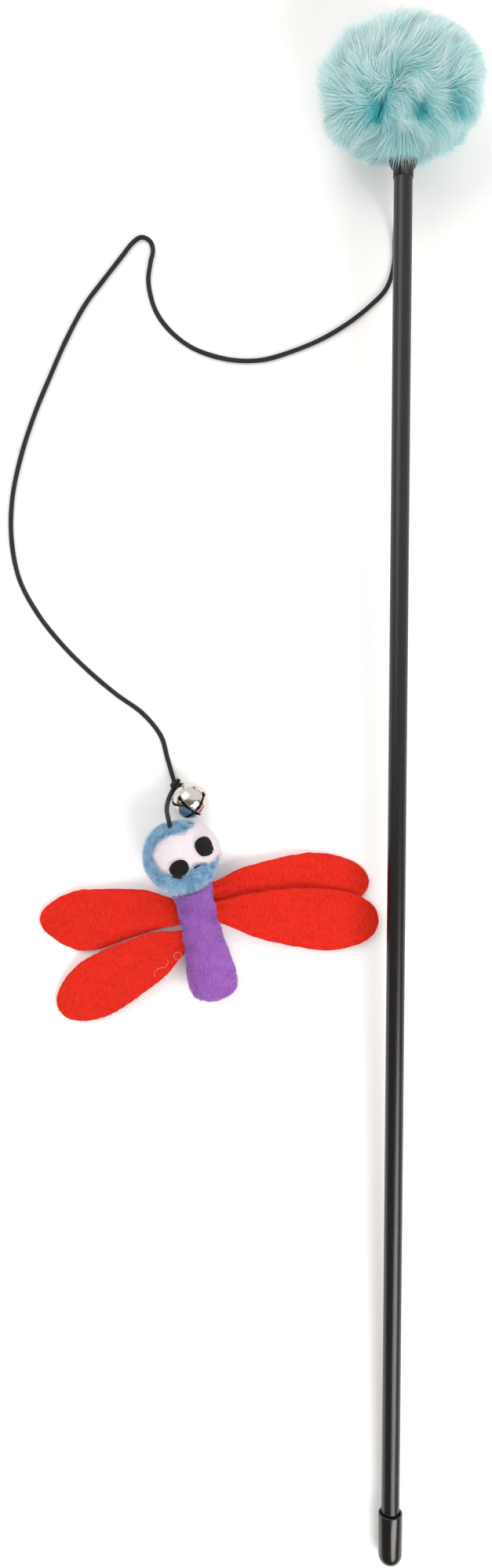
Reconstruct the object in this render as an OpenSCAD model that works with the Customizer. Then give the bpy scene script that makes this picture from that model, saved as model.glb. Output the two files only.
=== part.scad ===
// Cat teaser wand lying flat: a capped plastic rod with a fur pom-pom, an elastic cord,
// a jingle bell and a stuffed dragonfly with felt wings. Millimetres, Z up, floor at Z = 0.
// The rod runs along +Y and rises from its cap to the pom-pom that the far end rests on.

/* [Rod] */
// Length from the cap's bottom to the far side of the pom-pom, along the floor
overall_len = 485; // [470:1:520]
// How far the rod lies to the right of the middle
rod_offset = 44.7; // [44:0.1:52]
// Outer diameter of the hollow rod
tube_d = 5.8; // [5.5:0.1:6.2]
// Wall of the hollow rod
tube_wall = 0.8; // [0.6:0.05:0.9]
// Gap between glued or pushed pieces
rod_fit = 0.05; // [0.03:0.01:0.1]

/* [End cap] */
// Outer diameter of the vinyl cap
cap_d = 7.7; // [7.5:0.1:9]
// Length of the cap
cap_len = 16.6; // [14:0.2:20]
// Thickness of the cap's floor
cap_floor = 1.5; // [1:0.1:2]
// Length of the rounding at the cap's bottom
cap_round = 3.4; // [2.5:0.1:4]
// Diameter of the small flat at the cap's bottom
cap_flat_d = 3; // [2:0.1:4]
// Rounding of the cap's rim
cap_lip = 0.3; // [0.1:0.05:0.35]
// Depth of the flare inside the mouth
cap_flare = 1.1; // [0.6:0.1:2]

/* [Top plug] */
// Diameter of the neck below the dish
neck_d = 6.2; // [5.9:0.1:7]
// Length of the neck
neck_len = 3; // [2.6:0.1:4]
// Diameter of the dish that the pom-pom sits in
dish_d = 8.8; // [8:0.1:10]
// Height of the dish
dish_h = 2.2; // [1.8:0.1:3]
// Wall of the dish
dish_wall = 0.7; // [0.5:0.05:1]
// Length of the spigot inside the rod
spigot_len = 11; // [8:0.5:16]
// Bore of the spigot, where the cord is knotted
spigot_bore = 2.9; // [2.6:0.1:3]
// Diameter of the peg inside the pom-pom
peg_d = 3.4; // [2.5:0.1:4]
// Length of the peg above the dish's floor
peg_len = 12; // [10:0.5:16]

/* [Pom-pom] */
// Width of the pom-pom across the rod
pompom_w = 52; // [44:1:56]
// Depth of the pom-pom along the rod
pompom_depth = 42; // [36:1:46]
// Height of the pom-pom
pompom_h = 46; // [40:1:50]
// Thickness of the fur skin, backing and pile
fur_wall = 7; // [5:0.5:8]
// Depth of the pucker that the drawstring pulls in
pucker_depth = 4.5; // [2:0.5:6]
// Diameter of the drawstring ring
drawstring_ring_d = 5; // [4:0.5:7]
// Thickness of the drawstring
drawstring_d = 0.7; // [0.5:0.1:1]

/* [Cord] */
// Diameter of the elastic cord
cord_d = 1.5; // [1.3:0.05:1.6]
// Clearance round the cord where it goes through a hole
cord_hole_gap = 0.2; // [0.15:0.05:0.3]
// Diameter of the knot that carries the bell
knot_d = 3.2; // [3:0.1:3.6]
// Thickness of the knot's small loop, where the cord is pulled thin
loop_d = 0.9; // [0.7:0.05:1]

/* [Bell] */
// Diameter of the bell
bell_d = 12; // [11:0.5:12.5]
// Height of the bell's shell along its axis
bell_h = 11; // [10:0.25:11.5]
// Thickness of the bell's sheet metal
bell_wall = 0.4; // [0.3:0.05:0.6]
// Width of the crossed slots
slot_w = 0.8; // [0.6:0.1:1.2]
// Diameter of the round ends of the slots
slot_end_d = 1.6; // [1.2:0.1:2]
// Thickness of the eye's wire
eye_wire = 0.7; // [0.6:0.05:0.8]
// Inner diameter of the eye
eye_d = 2.3; // [2.2:0.1:2.6]
// Diameter of the loose pellet
pellet_d = 3.6; // [3:0.2:4]

/* [Head] */
// Width of the head
head_w = 23.8; // [22:0.2:25]
// Length of the head along the lure
head_len = 24.4; // [22:0.2:25]
// Height of the head
head_h = 23.2; // [21:0.2:24]
// Thickness of the plush, backing and pile
plush_wall = 1.4; // [1:0.1:2]
// Thickness of the felt of the eyes
eye_felt = 0.9; // [0.6:0.1:1.2]
// Width of the left pupil
pupil_left_w = 6.6; // [5:0.2:7]
// Height of the left pupil
pupil_left_h = 5.2; // [4:0.2:6]
// Width of the right pupil
pupil_right_w = 7.2; // [5:0.2:7.4]
// Height of the right pupil
pupil_right_h = 6.4; // [4:0.2:6.6]
// Thickness of the stitched smile
smile_d = 0.7; // [0.5:0.1:0.9]

/* [Body] */
// Length from the middle of the head to the tail
body_reach = 47.6; // [44:0.2:54]
// Width of the body at its tail
body_w = 16; // [14:0.2:17]
// Height of the body at its tail
body_h = 14.2; // [12:0.2:15]

/* [Wings] */
// Thickness of the felt
felt = 1.2; // [1:0.1:1.3]
// Length of the left wing nearer the head
wing_left_front_len = 45.2; // [40:0.5:48]
// Length of the left wing nearer the tail
wing_left_back_len = 46.6; // [40:0.5:50]
// Length of the right wing nearer the head
wing_right_front_len = 50.3; // [44:0.5:52]
// Length of the right wing nearer the tail
wing_right_back_len = 52.3; // [46:0.5:52.5]
// Half width of the wings nearer the head
wing_front_half = 10.9; // [9:0.1:11.4]
// Half width of the wings nearer the tail
wing_back_half = 10.3; // [9:0.1:11]
// Gap between soft pieces that move on each other
soft_gap = 0.3; // [0.25:0.05:0.5]

/* [Hidden] */
$fn = 32;
// How far a cutting tool runs past what it cuts
overrun = 1;
// Depth of the flat that a soft piece is pressed to where it lies on the floor
rest_flat = 0.5;
// Gap between a skin and what lies against it on the same body
skin_gap = 0.08;

// The rod lies on the cap and the pom-pom, so it slopes up by this angle.
tube_r = tube_d / 2;
tube_bore_r = tube_r - tube_wall;
cap_r = cap_d / 2;
pompom_at = overall_len - pompom_depth / 2;
slope = asin((pompom_h / 2 - rest_flat - cap_r) / pompom_at);
rod_foot = [rod_offset, -overall_len / 2, cap_r * cos(slope) - cap_round * sin(slope)];
pompom_mid = rod_foot + [0, pompom_at * cos(slope), pompom_at * sin(slope)];

// Places along the rod, from the cap's bottom
dish_floor_at = pompom_at - pompom_depth / 2 - (dish_h - dish_wall);
dish_from = dish_floor_at - dish_wall;
neck_at = dish_from - neck_len;
spigot_from = neck_at - spigot_len;
tube_from = cap_floor + rod_fit;
tube_to = neck_at - rod_fit;
cord_hole_at = neck_at + neck_len / 2;
cord_hole_r = cord_d / 2 + cord_hole_gap;

// Puts children built along +Z, with +Y to the floor, on the rod's own axis.
module on_rod(along = 0) {
    translate(rod_foot) rotate([slope - 90, 0, 0]) translate([0, 0, along]) children();
}

// A closed skin over rings of points that turn by the right hand about the way from the first
// point to the last.
function skin_faces(m, n) = concat(
    [for (j = [0:n - 1]) [0, 1 + j, 1 + (j + 1) % n]],
    [for (i = [0:m - 2], j = [0:n - 1], half = [0, 1])
        let (a = 1 + i * n + j, b = 1 + i * n + (j + 1) % n)
        half == 0 ? [a, b + n, b] : [a, a + n, b + n]],
    [for (j = [0:n - 1]) let (a = 1 + (m - 1) * n) [1 + m * n, a + (j + 1) % n, a + j]]);
module skin(first, rings, last) {
    polyhedron([first, for (ring = rings) for (p = ring) p, last],
        skin_faces(len(rings), len(rings[0])));
}
// A skin with a mouth: inner rows and outer rows, both given from the mouth on.
module cup(inner_end, inner, outer, outer_end) {
    skin(inner_end, concat([for (i = [len(inner) - 1:-1:0]) inner[i]], outer), outer_end);
}
function unit(v) = v / norm(v);
function mix(a, b, t) = a + (b - a) * t;
function above(p, z) = [p[0], p[1], max(p[2], z)];
// The part of v that is square to the way t
function square_to(v, t) = unit(v - (v * t) * t);
// Reads a list of shares at x from 0 to 1, straight between entries.
function share_at(list, x) = let (k = min(x, 1) * (len(list) - 1), i = min(floor(k), len(list) - 2))
    mix(list[i], list[i + 1], k - i);
// Direction at an angle from an axis, turned round by the right hand about the way back down it
function leaning(axis, side, angle, turn) =
    axis * cos(angle) + (side * cos(turn) + cross(side, axis) * sin(turn)) * sin(angle);
// Direction on a ball: to the right of up, then towards +Y
function ball_way(right_deg, forth_deg) =
    [cos(forth_deg) * sin(right_deg), sin(forth_deg), cos(forth_deg) * cos(right_deg)];
function ellipsoid_r(d, w, l, h) = 1 / norm([2 * d[0] / w, 2 * d[1] / l, 2 * d[2] / h]);

// Rod and cap

module tube() {
    color("#1b1b1d") on_rod() difference() {
        translate([0, 0, tube_from]) cylinder(h = tube_to - tube_from, r = tube_r);
        translate([0, 0, tube_from - overrun])
            cylinder(h = tube_to - tube_from + 2 * overrun, r = tube_bore_r);
    }
}

// The cap is turned: a flat, a long rounding, a straight wall and a lipped, flared mouth.
module end_cap() {
    steps = 10;
    flat_r = cap_flat_d / 2;
    seat_r = tube_r + rod_fit;
    color("#151516") on_rod() rotate_extrude() polygon(concat([[0, 0]],
        [for (i = [0:steps]) let (a = 90 * i / steps)
            [flat_r + (cap_r - flat_r) * sin(a), cap_round * (1 - cos(a))]],
        [for (a = [0:30:90]) [cap_r - cap_lip * (1 - cos(a)), cap_len - cap_lip * (1 - sin(a))]],
        [[cap_r - 2 * cap_lip, cap_len], [seat_r, cap_len - cap_flare], [seat_r, cap_floor],
            [0, cap_floor]]));
}

// The plug is turned too: a hollow spigot, a neck with the cord's side hole, a dish and a peg.
module top_plug() {
    steps = 6;
    neck_r = neck_d / 2;
    spigot_r = tube_bore_r - rod_fit;
    flare = (dish_d - neck_d) / 2;
    peg_to = dish_floor_at + peg_len;
    color("#1a1a1b") on_rod() difference() {
        rotate_extrude() polygon(concat(
            [[0, spigot_from], [spigot_r, spigot_from], [spigot_r, neck_at], [neck_r, neck_at]],
            [for (i = [0:steps]) let (a = 90 * i / steps)
                [neck_r + flare * sin(a), dish_from + dish_h * (1 - cos(a))]],
            [for (i = [steps:-1:0]) let (a = 90 * i / steps)
                [neck_r - dish_wall + flare * sin(a),
                    dish_floor_at + (dish_h - dish_wall) * (1 - cos(a))]],
            [[peg_d / 2, dish_floor_at], [peg_d / 2, peg_to - dish_wall],
                [peg_d / 2 - dish_wall, peg_to], [0, peg_to]]));
        translate([0, 0, spigot_from - overrun])
            cylinder(h = spigot_len + neck_len + overrun, d = spigot_bore);
        translate([0, 0, cord_hole_at]) rotate([-90, 0, 0])
            cylinder(h = neck_r + overrun, r = cord_hole_r);
    }
}

// Pom-pom

pompom_cols = 32;
pompom_rows = 14;
// Where the drawstring gathers the fur, and how the folds run out from it
pucker_round = -17;
pucker_along = -25;
pucker_way = ball_way(pucker_round, pucker_along);
pucker_side = square_to([1, 0, 0], pucker_way);
pucker_spread = 24;
fold_count = 5;
fold_share = 0.045;
function from_pucker(d) = acos(max(-1, min(1, d * pucker_way)));
function fold_wave(d) = cos(fold_count * atan2(d * cross(pucker_way, pucker_side), d * pucker_side))
    * pow(sin(from_pucker(d)), 2);
function pompom_r(d) = ellipsoid_r(d, pompom_w, pompom_depth, pompom_h) * (1 - fold_share * fold_wave(d))
    - pucker_depth * exp(-pow(from_pucker(d) / pucker_spread, 2));
// A point in the rod's axes, across, along and up from the pom-pom's middle, put in its place
function beside_rod(q) = pompom_mid + [q[0], q[1] * cos(slope) - q[2] * sin(slope),
    q[1] * sin(slope) + q[2] * cos(slope)];
function pompom_point(angle, turn, depth) = let (d = leaning([0, -1, 0], [0, 0, 1], angle, turn))
    above(beside_rod(d * (pompom_r(d) - depth)), depth);
// The mouth lets the peg in.
mouth_r = peg_d / 2 + skin_gap;
function mouth_deg(depth) = asin((mouth_r + skin_gap) / (pompom_depth / 2 - depth));
function pompom_rings(start, depth) = [for (i = [0:pompom_rows])
    [for (j = [0:pompom_cols - 1]) pompom_point(mix(start, 180, i / (pompom_rows + 1)),
        360 * j / pompom_cols, depth)]];
function peg_ring(radius, along) = [for (j = [0:pompom_cols - 1]) let (a = 360 * j / pompom_cols)
    beside_rod([radius * sin(a), along - pompom_at, radius * cos(a)])];

module pompom_cover() {
    color("#8ccbcd") cup(pompom_point(180, 0, fur_wall), pompom_rings(mouth_deg(fur_wall), fur_wall),
        pompom_rings(mouth_deg(0), 0), pompom_point(180, 0, 0));
}

// The fibre ball has a pocket for the peg.
module pompom_stuffing() {
    depth = fur_wall + 3 * skin_gap;
    pocket_to = dish_floor_at + peg_len + skin_gap;
    color("#f1efe8") skin(beside_rod([0, pocket_to - pompom_at, 0]),
        concat([peg_ring(mouth_r, pocket_to)], pompom_rings(mouth_deg(fur_wall), depth)),
        pompom_point(180, 0, depth));
}

module pompom_thread() {
    color("#7fbcbe") translate(pompom_mid) rotate([slope, 0, 0]) rotate([0, pucker_round, 0])
        rotate([-pucker_along, 0, 0]) translate([0, 0, pompom_r(pucker_way) + 2 * drawstring_d])
            ring(drawstring_ring_d / 2, drawstring_d);
}

// The lure has its own axes: x to its right, y from its head to the cord, z up from the floor.

lure_at = [-23.4, -15.2, 0];
lure_lean = 13;
module in_lure() {
    translate(lure_at) rotate([0, 0, lure_lean]) children();
}
function from_lure(p) = lure_at + turned(p, lure_lean);
function turned(p, a) = [p[0] * cos(a) - p[1] * sin(a), p[0] * sin(a) + p[1] * cos(a), p[2]];
head_mid = [0, 0, head_h / 2 - rest_flat];

// Bell and knots. The eye hangs in the knot's loop like two links of a chain.

eye_ring_r = (eye_d + eye_wire) / 2;
loop_ring_r = loop_d * 1.28;
// The bell lies against the front of the head, off to its right, just clear of the floor.
bell_mid = [bell_d * 0.57, head_len / 2 + bell_d * 0.378, bell_d / 2 + skin_gap * 3];
bell_way = unit([0.097, -0.69, 0.717]);
eye_normal = square_to([0.167, 0.722, 0.672], bell_way);
loop_way = square_to([0.898, -0.392, 0.198], eye_normal);
loop_normal = square_to([-0.407, -0.57, 0.714], loop_way);
eye_mid = bell_mid - bell_way * (bell_h / 2 + loop_d);
loop_mid = eye_mid - loop_way * (loop_ring_r + (eye_ring_r - loop_ring_r) / 2);
knot_from_loop = loop_mid - loop_way * (loop_ring_r + knot_d * 0.36);
knot_mid = [knot_from_loop[0], knot_from_loop[1], knot_d / 2 + skin_gap];

// Puts children built along +Z, with +X on the side way, at a place.
module placed(at, way, side) {
    up = cross(way, side);
    multmatrix([[side[0], up[0], way[0], at[0]], [side[1], up[1], way[1], at[1]],
        [side[2], up[2], way[2], at[2]]]) children();
}
module ring(centre_r, d) {
    rotate_extrude($fn = 20) translate([centre_r, 0]) circle(d = d, $fn = 14);
}
// A knot is a round core under two crossed turns of the cord.
module knot(d, turn_d) {
    union() {
        sphere(d = d * 0.75, $fn = 20);
        rotate([35, 0, 0]) ring((d - turn_d) / 2, turn_d);
        rotate([-20, 40, 0]) ring((d - turn_d) / 2, turn_d);
    }
}

module bell_knot() {
    color("#1e1e20") in_lure() union() {
        translate(knot_mid) knot(knot_d, cord_d * 0.8);
        placed(loop_mid, loop_normal, loop_way) ring(loop_ring_r, loop_d);
    }
}

module plug_knot() {
    core_d = spigot_bore - 2 * skin_gap;
    color("#202022") on_rod(cord_hole_at) union() {
        sphere(d = core_d, $fn = 20);
        rotate([-90, 0, 0]) cylinder(h = neck_d / 2 - 4 * skin_gap, d = cord_d, $fn = 16);
    }
}

// The crown and the petals are halves of one flattened ball, closed by crimping.
module bell_half(up) {
    steps = 7;
    bore_r = bell_d / 2 - bell_wall;
    bore_h = bell_h / 2 - bell_wall;
    rotate_extrude() polygon(concat(
        [for (i = [0:steps]) let (a = 90 * i / steps) [bell_d / 2 * cos(a), up * bell_h / 2 * sin(a)]],
        [for (i = [steps:-1:0]) let (a = 90 * i / steps) [bore_r * cos(a), up * bore_h * sin(a)]]));
}

module bell_crown() {
    color("#c9c9cc") in_lure() placed(bell_mid - bell_way * skin_gap / 2, bell_way, eye_normal)
        bell_half(-1);
}

slot_end_deg = 22;
module bell_petals() {
    end_r = bell_d / 2 * cos(slot_end_deg);
    end_h = bell_h / 2 * sin(slot_end_deg);
    color("#d2d2d5") in_lure() placed(bell_mid + bell_way * skin_gap / 2, bell_way, eye_normal)
        difference() {
            bell_half(1);
            for (turn = [45, 135]) rotate([0, 0, turn])
                translate([-end_r, -slot_w / 2, end_h]) cube([2 * end_r, slot_w, bell_h]);
            for (turn = [45:90:315]) rotate([0, 0, turn]) translate([end_r - bell_wall * 4, 0, end_h])
                rotate([0, 90, 0]) cylinder(h = bell_wall * 6, d = slot_end_d);
        }
}

// Half a ring of wire with two straight legs that are brazed on the crown
module bell_eye() {
    crown_at = bell_h / 2 * sqrt(1 - pow(eye_d / bell_d, 2));
    leg_len = (bell_mid - eye_mid) * bell_way - crown_at - skin_gap;
    color("#b9b9bd") in_lure() placed(eye_mid, bell_way, eye_normal) union() {
        rotate([0, 90, 0]) rotate([0, 0, -90]) rotate_extrude(angle = 180) translate([eye_ring_r, 0])
            circle(d = eye_wire, $fn = 14);
        for (side = [-1, 1]) translate([0, side * eye_ring_r, 0])
            cylinder(h = leg_len, d = eye_wire, $fn = 14);
    }
}

// The pellet lies at the bottom of the bell.
pellet_drop = bell_h / 2 - bell_wall - pellet_d / 2 - skin_gap;
module bell_pellet() {
    color("#8e8e90") in_lure() translate(bell_mid - [0, 0, pellet_drop]) sphere(d = pellet_d, $fn = 20);
}

// Cord

// The route of the free stretch after the plug, point by point; most of it lies on the floor.
cord_route = [[44.7, 195.6, 14], [44.7, 194, 8.6], [44.6, 190.6, 4], [44.6, 184.6, 1.2],
    [44.4, 177, 0.8], [42, 169.2, 0.8], [36.4, 163.2, 0.8], [29, 157.4, 0.8], [20.6, 152.4, 0.8],
    [11, 148.4, 0.8], [2, 145.8, 0.8], [-7, 145.6, 0.8], [-15.5, 147.4, 0.8], [-22.6, 150.6, 0.8],
    [-29, 156, 0.8], [-33.2, 162.4, 0.8], [-35.2, 170.6, 0.8], [-34.6, 177, 0.8],
    [-33.8, 181.2, 0.8], [-34.8, 184.2, 0.8], [-37.6, 185.4, 0.8], [-40.6, 183.4, 0.8],
    [-44, 179, 0.8], [-50, 171.2, 0.8], [-56, 163, 0.8], [-61.8, 152, 0.8], [-67, 140, 0.8],
    [-72, 127.6, 0.8], [-76.2, 114.4, 0.8], [-79, 100.6, 0.8], [-79.2, 87, 0.8],
    [-76.6, 74.2, 0.8], [-70.6, 63, 0.8], [-62.6, 53, 0.8], [-54, 44.5, 0.8], [-45, 37, 0.8],
    [-36.6, 31, 0.8], [-30.6, 23.8, 0.8], [-28.4, 16.6, 0.8], [-27, 11.8, 1.1]];
// The stretch from the bell knot up into the head, in the lure's axes
lure_route = [[1, 19.7, 1.3], [0.1, 18.2, 3.2], [-0.4, 17.1, 6.4], [-0.6, 16.2, 9.2],
    [-0.75, 14.8, 11.4]];
// A smooth curve through the points, with two steps from one to the next
function curve_point(a, b, c, d, t) = (2 * b + (c - a) * t + (2 * a - 5 * b + 4 * c - d) * t * t
    + (3 * b - a - 3 * c + d) * t * t * t) / 2;
function curve(p) = let (n = len(p)) concat([for (i = [0:n - 2], t = [0, 1 / 2])
    curve_point(p[max(i - 1, 0)], p[i], p[i + 1], p[min(i + 2, n - 1)], t)], [p[n - 1]]);
// Rings square to the line, their sides carried along it so that they don't twist
function way_at(p, i) = unit(p[min(i + 1, len(p) - 1)] - p[max(i - 1, 0)]);
function sides_along(p, side, i = 0) = i >= len(p) ? []
    : let (s = square_to(side, way_at(p, i))) concat([s], sides_along(p, s, i + 1));
module tube_along(line, d, side) {
    sides = sides_along(line, side);
    skin(line[0], [for (i = [0:len(line) - 1]) let (other = cross(way_at(line, i), sides[i]))
        [for (turn = [22.5:45:337.5]) line[i] + (sides[i] * cos(turn) + other * sin(turn)) * d / 2]],
        line[len(line) - 1]);
}
function length_of(p) = [for (i = [0:len(p) - 2]) norm(p[i + 1] - p[i])] * [for (i = [0:len(p) - 2]) 1];

cord_exit = rod_foot + [0, cord_hole_at * cos(slope) + neck_d / 2 * sin(slope),
    cord_hole_at * sin(slope) - neck_d / 2 * cos(slope)];
cord_end_way = unit([-1.6, 4, -0.5]);
cord_line = curve(concat([cord_exit], cord_route,
    [from_lure(knot_mid) + cord_end_way * (knot_d / 2 + soft_gap)]));
echo(cord_length = length_of(cord_line), cord_points = len(cord_line), cord_exit = cord_exit);

module cord() {
    color("#232325") tube_along(cord_line, cord_d, [1, 0, 0]);
}

// Head

head_cols = 24;
head_rows = 11;
cord_way = unit([-0.06, 0.995, 0.08]);
cord_side = square_to([0, 0, 1], cord_way);
stop_knot_at = head_len / 2 - plush_wall - knot_d / 2 - 2 * skin_gap;
function head_r(d) = ellipsoid_r(d, head_w, head_len, head_h);
function head_point(angle, turn, depth) = let (d = leaning(cord_way, cord_side, angle, turn))
    above(head_mid + d * (head_r(d) - depth), depth);
hole_deg = asin(cord_hole_r / (head_len / 2 - plush_wall));
function head_rings(depth) = [for (i = [0:head_rows]) [for (j = [0:head_cols - 1])
    head_point(mix(hole_deg, 180, i / (head_rows + 1)), 360 * j / head_cols, depth)]];
function pocket_ring(radius, along) = [for (j = [0:head_cols - 1]) let (turn = 360 * j / head_cols)
    head_mid + cord_way * along
        + (cord_side * cos(turn) + cross(cord_side, cord_way) * sin(turn)) * radius];

module lure_cord() {
    start = knot_mid + unit(lure_route[0] - knot_mid) * (knot_d / 2 + skin_gap);
    line = curve(concat([start], lure_route, [head_mid + cord_way * (head_len / 2 + cord_d / 2),
        head_mid + cord_way * (stop_knot_at + knot_d / 2 + skin_gap)]));
    color("#232325") in_lure() tube_along(line, cord_d, [1, 0, 0]);
}

module head_knot() {
    color("#202022") in_lure() translate(head_mid + cord_way * stop_knot_at) knot(knot_d, cord_d * 0.8);
}

module head_cover() {
    color("#5aa0c8") in_lure() cup(head_point(180, 0, plush_wall), head_rings(plush_wall),
        head_rings(0), head_point(180, 0, 0));
}

// The head's fibre has a pocket for the stopper knot.
module head_stuffing() {
    depth = plush_wall + skin_gap;
    pocket_r = knot_d / 2 + skin_gap;
    pocket_to = stop_knot_at - pocket_r;
    color("#f1efe8") in_lure() skin(head_mid + cord_way * pocket_to,
        concat([pocket_ring(pocket_r, pocket_to), pocket_ring(pocket_r, stop_knot_at + pocket_r / 2)],
            head_rings(depth)), head_point(180, 0, depth));
}

// Face. Places on it are angles to the right of straight up and towards the cord.

face_lean = 4;
function face_way(right, forth) = turned(ball_way(right, forth), face_lean);
// A felt disc bent over the head: how far it reaches is an angle for each way round.
module felt_disc(mid, right, reaches, base, rows) {
    n = len(reaches);
    function at(f, j, lift) = let (angle = f * reaches[j], turn = 360 * j / n,
            d = mid * cos(angle) + (right * cos(turn) + cross(mid, right) * sin(turn)) * sin(angle))
        head_mid + d * (head_r(d) + lift);
    skin(at(0, 0, base), concat([for (i = [1:rows]) [for (j = [0:n - 1]) at(i / rows, j, base)]],
        [for (i = [rows:-1:1]) [for (j = [0:n - 1]) at(i / rows, j, base + eye_felt)]]),
        at(0, 0, base + eye_felt));
}

// One piece of felt with a lobe under each eye: wide to the sides, narrow at its middle
patch_right = 15.5;
patch_forth = 5;
patch_reach = 59;
patch_waist = 24;
patch_notch = 19;
patch_cols = 28;
module eye_patch() {
    color("#f3f1f4") in_lure() felt_disc(face_way(patch_right, patch_forth),
        face_way(patch_right + 90, 0), [for (j = [0:patch_cols - 1]) let (turn = 360 * j / patch_cols)
            mix(sin(turn) > 0 ? patch_notch : patch_waist, patch_reach, pow(cos(turn), 2))],
        1.5 * skin_gap, 5);
}

module pupil(right, forth, w, h, tilt) {
    mid = face_way(right, forth);
    side = square_to(face_way(right + 90, 0), mid);
    color("#141415") in_lure() felt_disc(mid, side * cos(tilt) + cross(mid, side) * sin(tilt),
        [for (turn = [0:18:342]) asin(1 / norm([cos(turn) / w, sin(turn) / h]) / head_w)],
        eye_felt + 2 * skin_gap, 2);
}
module pupil_left() { pupil(-6, -17, pupil_left_w, pupil_left_h, 15); }
module pupil_right() { pupil(43, 5.5, pupil_right_w, pupil_right_h, 0); }

// The stitched smile runs over the head from the first way to the last and sags between them.
smile_from = [-21, -30];
smile_to = [27, -27];
smile_sag = 8.5;
module smile() {
    line = [for (t = [0:0.1:1]) let (a = mix(smile_from, smile_to, t),
            d = face_way(a[0], a[1] - smile_sag * 4 * t * (1 - t)))
        head_mid + d * (head_r(d) + smile_d / 2 + skin_gap)];
    color("#161617") in_lure() tube_along(line, smile_d, [0, 1, 0]);
}

// Body

// How far from the tail, and how wide there, as shares of the body's length and width
body_shares = [[0, 0], [0.013, 0.42], [0.04, 0.69], [0.09, 0.91], [0.16, 1], [0.26, 1],
    [0.42, 0.89], [0.58, 0.8], [0.74, 0.75], [0.9, 0.78], [1, 0.84]];
body_cols = 20;
neck_share = 0.79;
// The body's middle line lies a little to the right of the head's, and rises to the neck.
body_right = 1.2;
neck_rise = 2.1;
neck_r = head_len / 2 + soft_gap;
neck_y = -neck_share * neck_r;
function body_half(y) = body_w / 2 * lookup((y + body_reach) / (body_reach + neck_y), body_shares);
function body_z(share) = mix(body_h / 2 - rest_flat, head_mid[2] - neck_rise, pow(share, 1.6));
// Rows run from the neck, whose rim lies on a ball round the head, to the tail.
function on_neck(x, z) = [x, -sqrt(pow(neck_r, 2) - pow(x, 2) - pow(z - head_mid[2], 2)), z];
function body_ring(k, depth) = let (share = body_shares[k][0], wide = body_shares[k][1],
        y = mix(depth - body_reach, neck_y, share))
    [for (turn = [0:360 / body_cols:359]) let (
        x = body_right - (body_w / 2 * wide - depth) * sin(turn),
        z = max(body_z(share) + (body_h / 2 * wide - depth) * cos(turn), depth))
        share == 1 ? on_neck(x, z) : [x, y, z]];
function body_rings(depth) = [for (k = [len(body_shares) - 1:-1:1]) body_ring(k, depth)];
function tail_point(depth) = [body_right, depth - body_reach, body_z(0)];

module body_cover() {
    color("#9b5fc8") in_lure() cup(tail_point(plush_wall), body_rings(plush_wall), body_rings(0),
        tail_point(0));
}

module body_stuffing() {
    depth = plush_wall + skin_gap;
    color("#f1efe8") in_lure() skin(on_neck(body_right, body_z(1)), body_rings(depth),
        tail_point(depth));
}

// Wings. Each is flat felt that droops from its seam on the body's side to the floor.

// Half widths on the side of the head and on the side of the tail, at even steps of 90 degrees
// along a quarter circle from root to tip
left_front_lead_shares = [0.37, 0.66, 0.76, 0.8, 0.81, 0.67, 0.46, 0.24, 0];
left_front_trail_shares = [0.39, 0.52, 0.73, 0.94, 1, 0.81, 0.53, 0.28, 0];
left_back_lead_shares = [0.36, 0.74, 0.9, 0.99, 0.97, 0.82, 0.57, 0.31, 0];
left_back_trail_shares = [0.35, 0.65, 0.78, 0.88, 0.91, 0.79, 0.58, 0.33, 0];
right_front_lead_shares = [0.39, 0.72, 0.89, 0.98, 0.96, 0.79, 0.57, 0.3, 0];
right_front_trail_shares = [0.35, 0.53, 0.7, 0.88, 0.94, 0.8, 0.51, 0.27, 0];
right_back_lead_shares = [0.34, 0.62, 0.82, 0.92, 0.92, 0.83, 0.64, 0.37, 0];
right_back_trail_shares = [0.34, 0.64, 0.84, 0.96, 0.99, 0.86, 0.64, 0.35, 0];
// The wings nearer the tail lie on the ones nearer the head, and are sewn on above them.
front_root_z = 5.4;
back_root_z = 7.05;
left_front_root_y = -17.1;
left_back_root_y = -26.6;
right_front_root_y = -14.6;
right_back_root_y = -19.7;
// The share of a wing's length over which its rows turn from the body's side to square
wing_blend_share = 0.3;
wing_steps = [0, 0.125, 0.25, 0.375, 0.5, 0.625, 0.75, 0.875, 0.95];
across = 5;

module wing(side, root_y, length, turn, half, lead_shares, trail_shares, root_z, tip_z, droop) {
    root = [body_right + side * (body_half(root_y) + soft_gap), root_y];
    way = [side * cos(turn), sin(turn)];
    lead_way = [-side * sin(turn), cos(turn)];
    function mid_z(t) = tip_z + (root_z - tip_z) * pow(1 - t, droop);
    function at(u, k, lift) = let (t = sin(90 * u),
            v = half * mix(share_at(lead_shares, u), -share_at(trail_shares, u), k / across),
            square = min(t / wing_blend_share, 1),
            p = root + way * length * t + unit(mix([0, 1], lead_way, square)) * v
                + [side * (1 - square) * (body_half(root_y + v) - body_half(root_y)), 0])
        [p[0], p[1], mid_z(t) + lift];
    // On the right a ring runs over the top to the tail's side and back below, on the left the
    // other way round.
    there = side > 0 ? [0:across] : [across:-1:0];
    back = side > 0 ? [across:-1:0] : [0:across];
    tip = root + way * length;
    in_lure() skin(at(0, across / 2, 0),
        [for (u = wing_steps) concat([for (k = there) at(u, k, felt / 2)],
            [for (k = back) at(u, k, -felt / 2)])],
        [tip[0], tip[1], mid_z(1)]);
}

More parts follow.
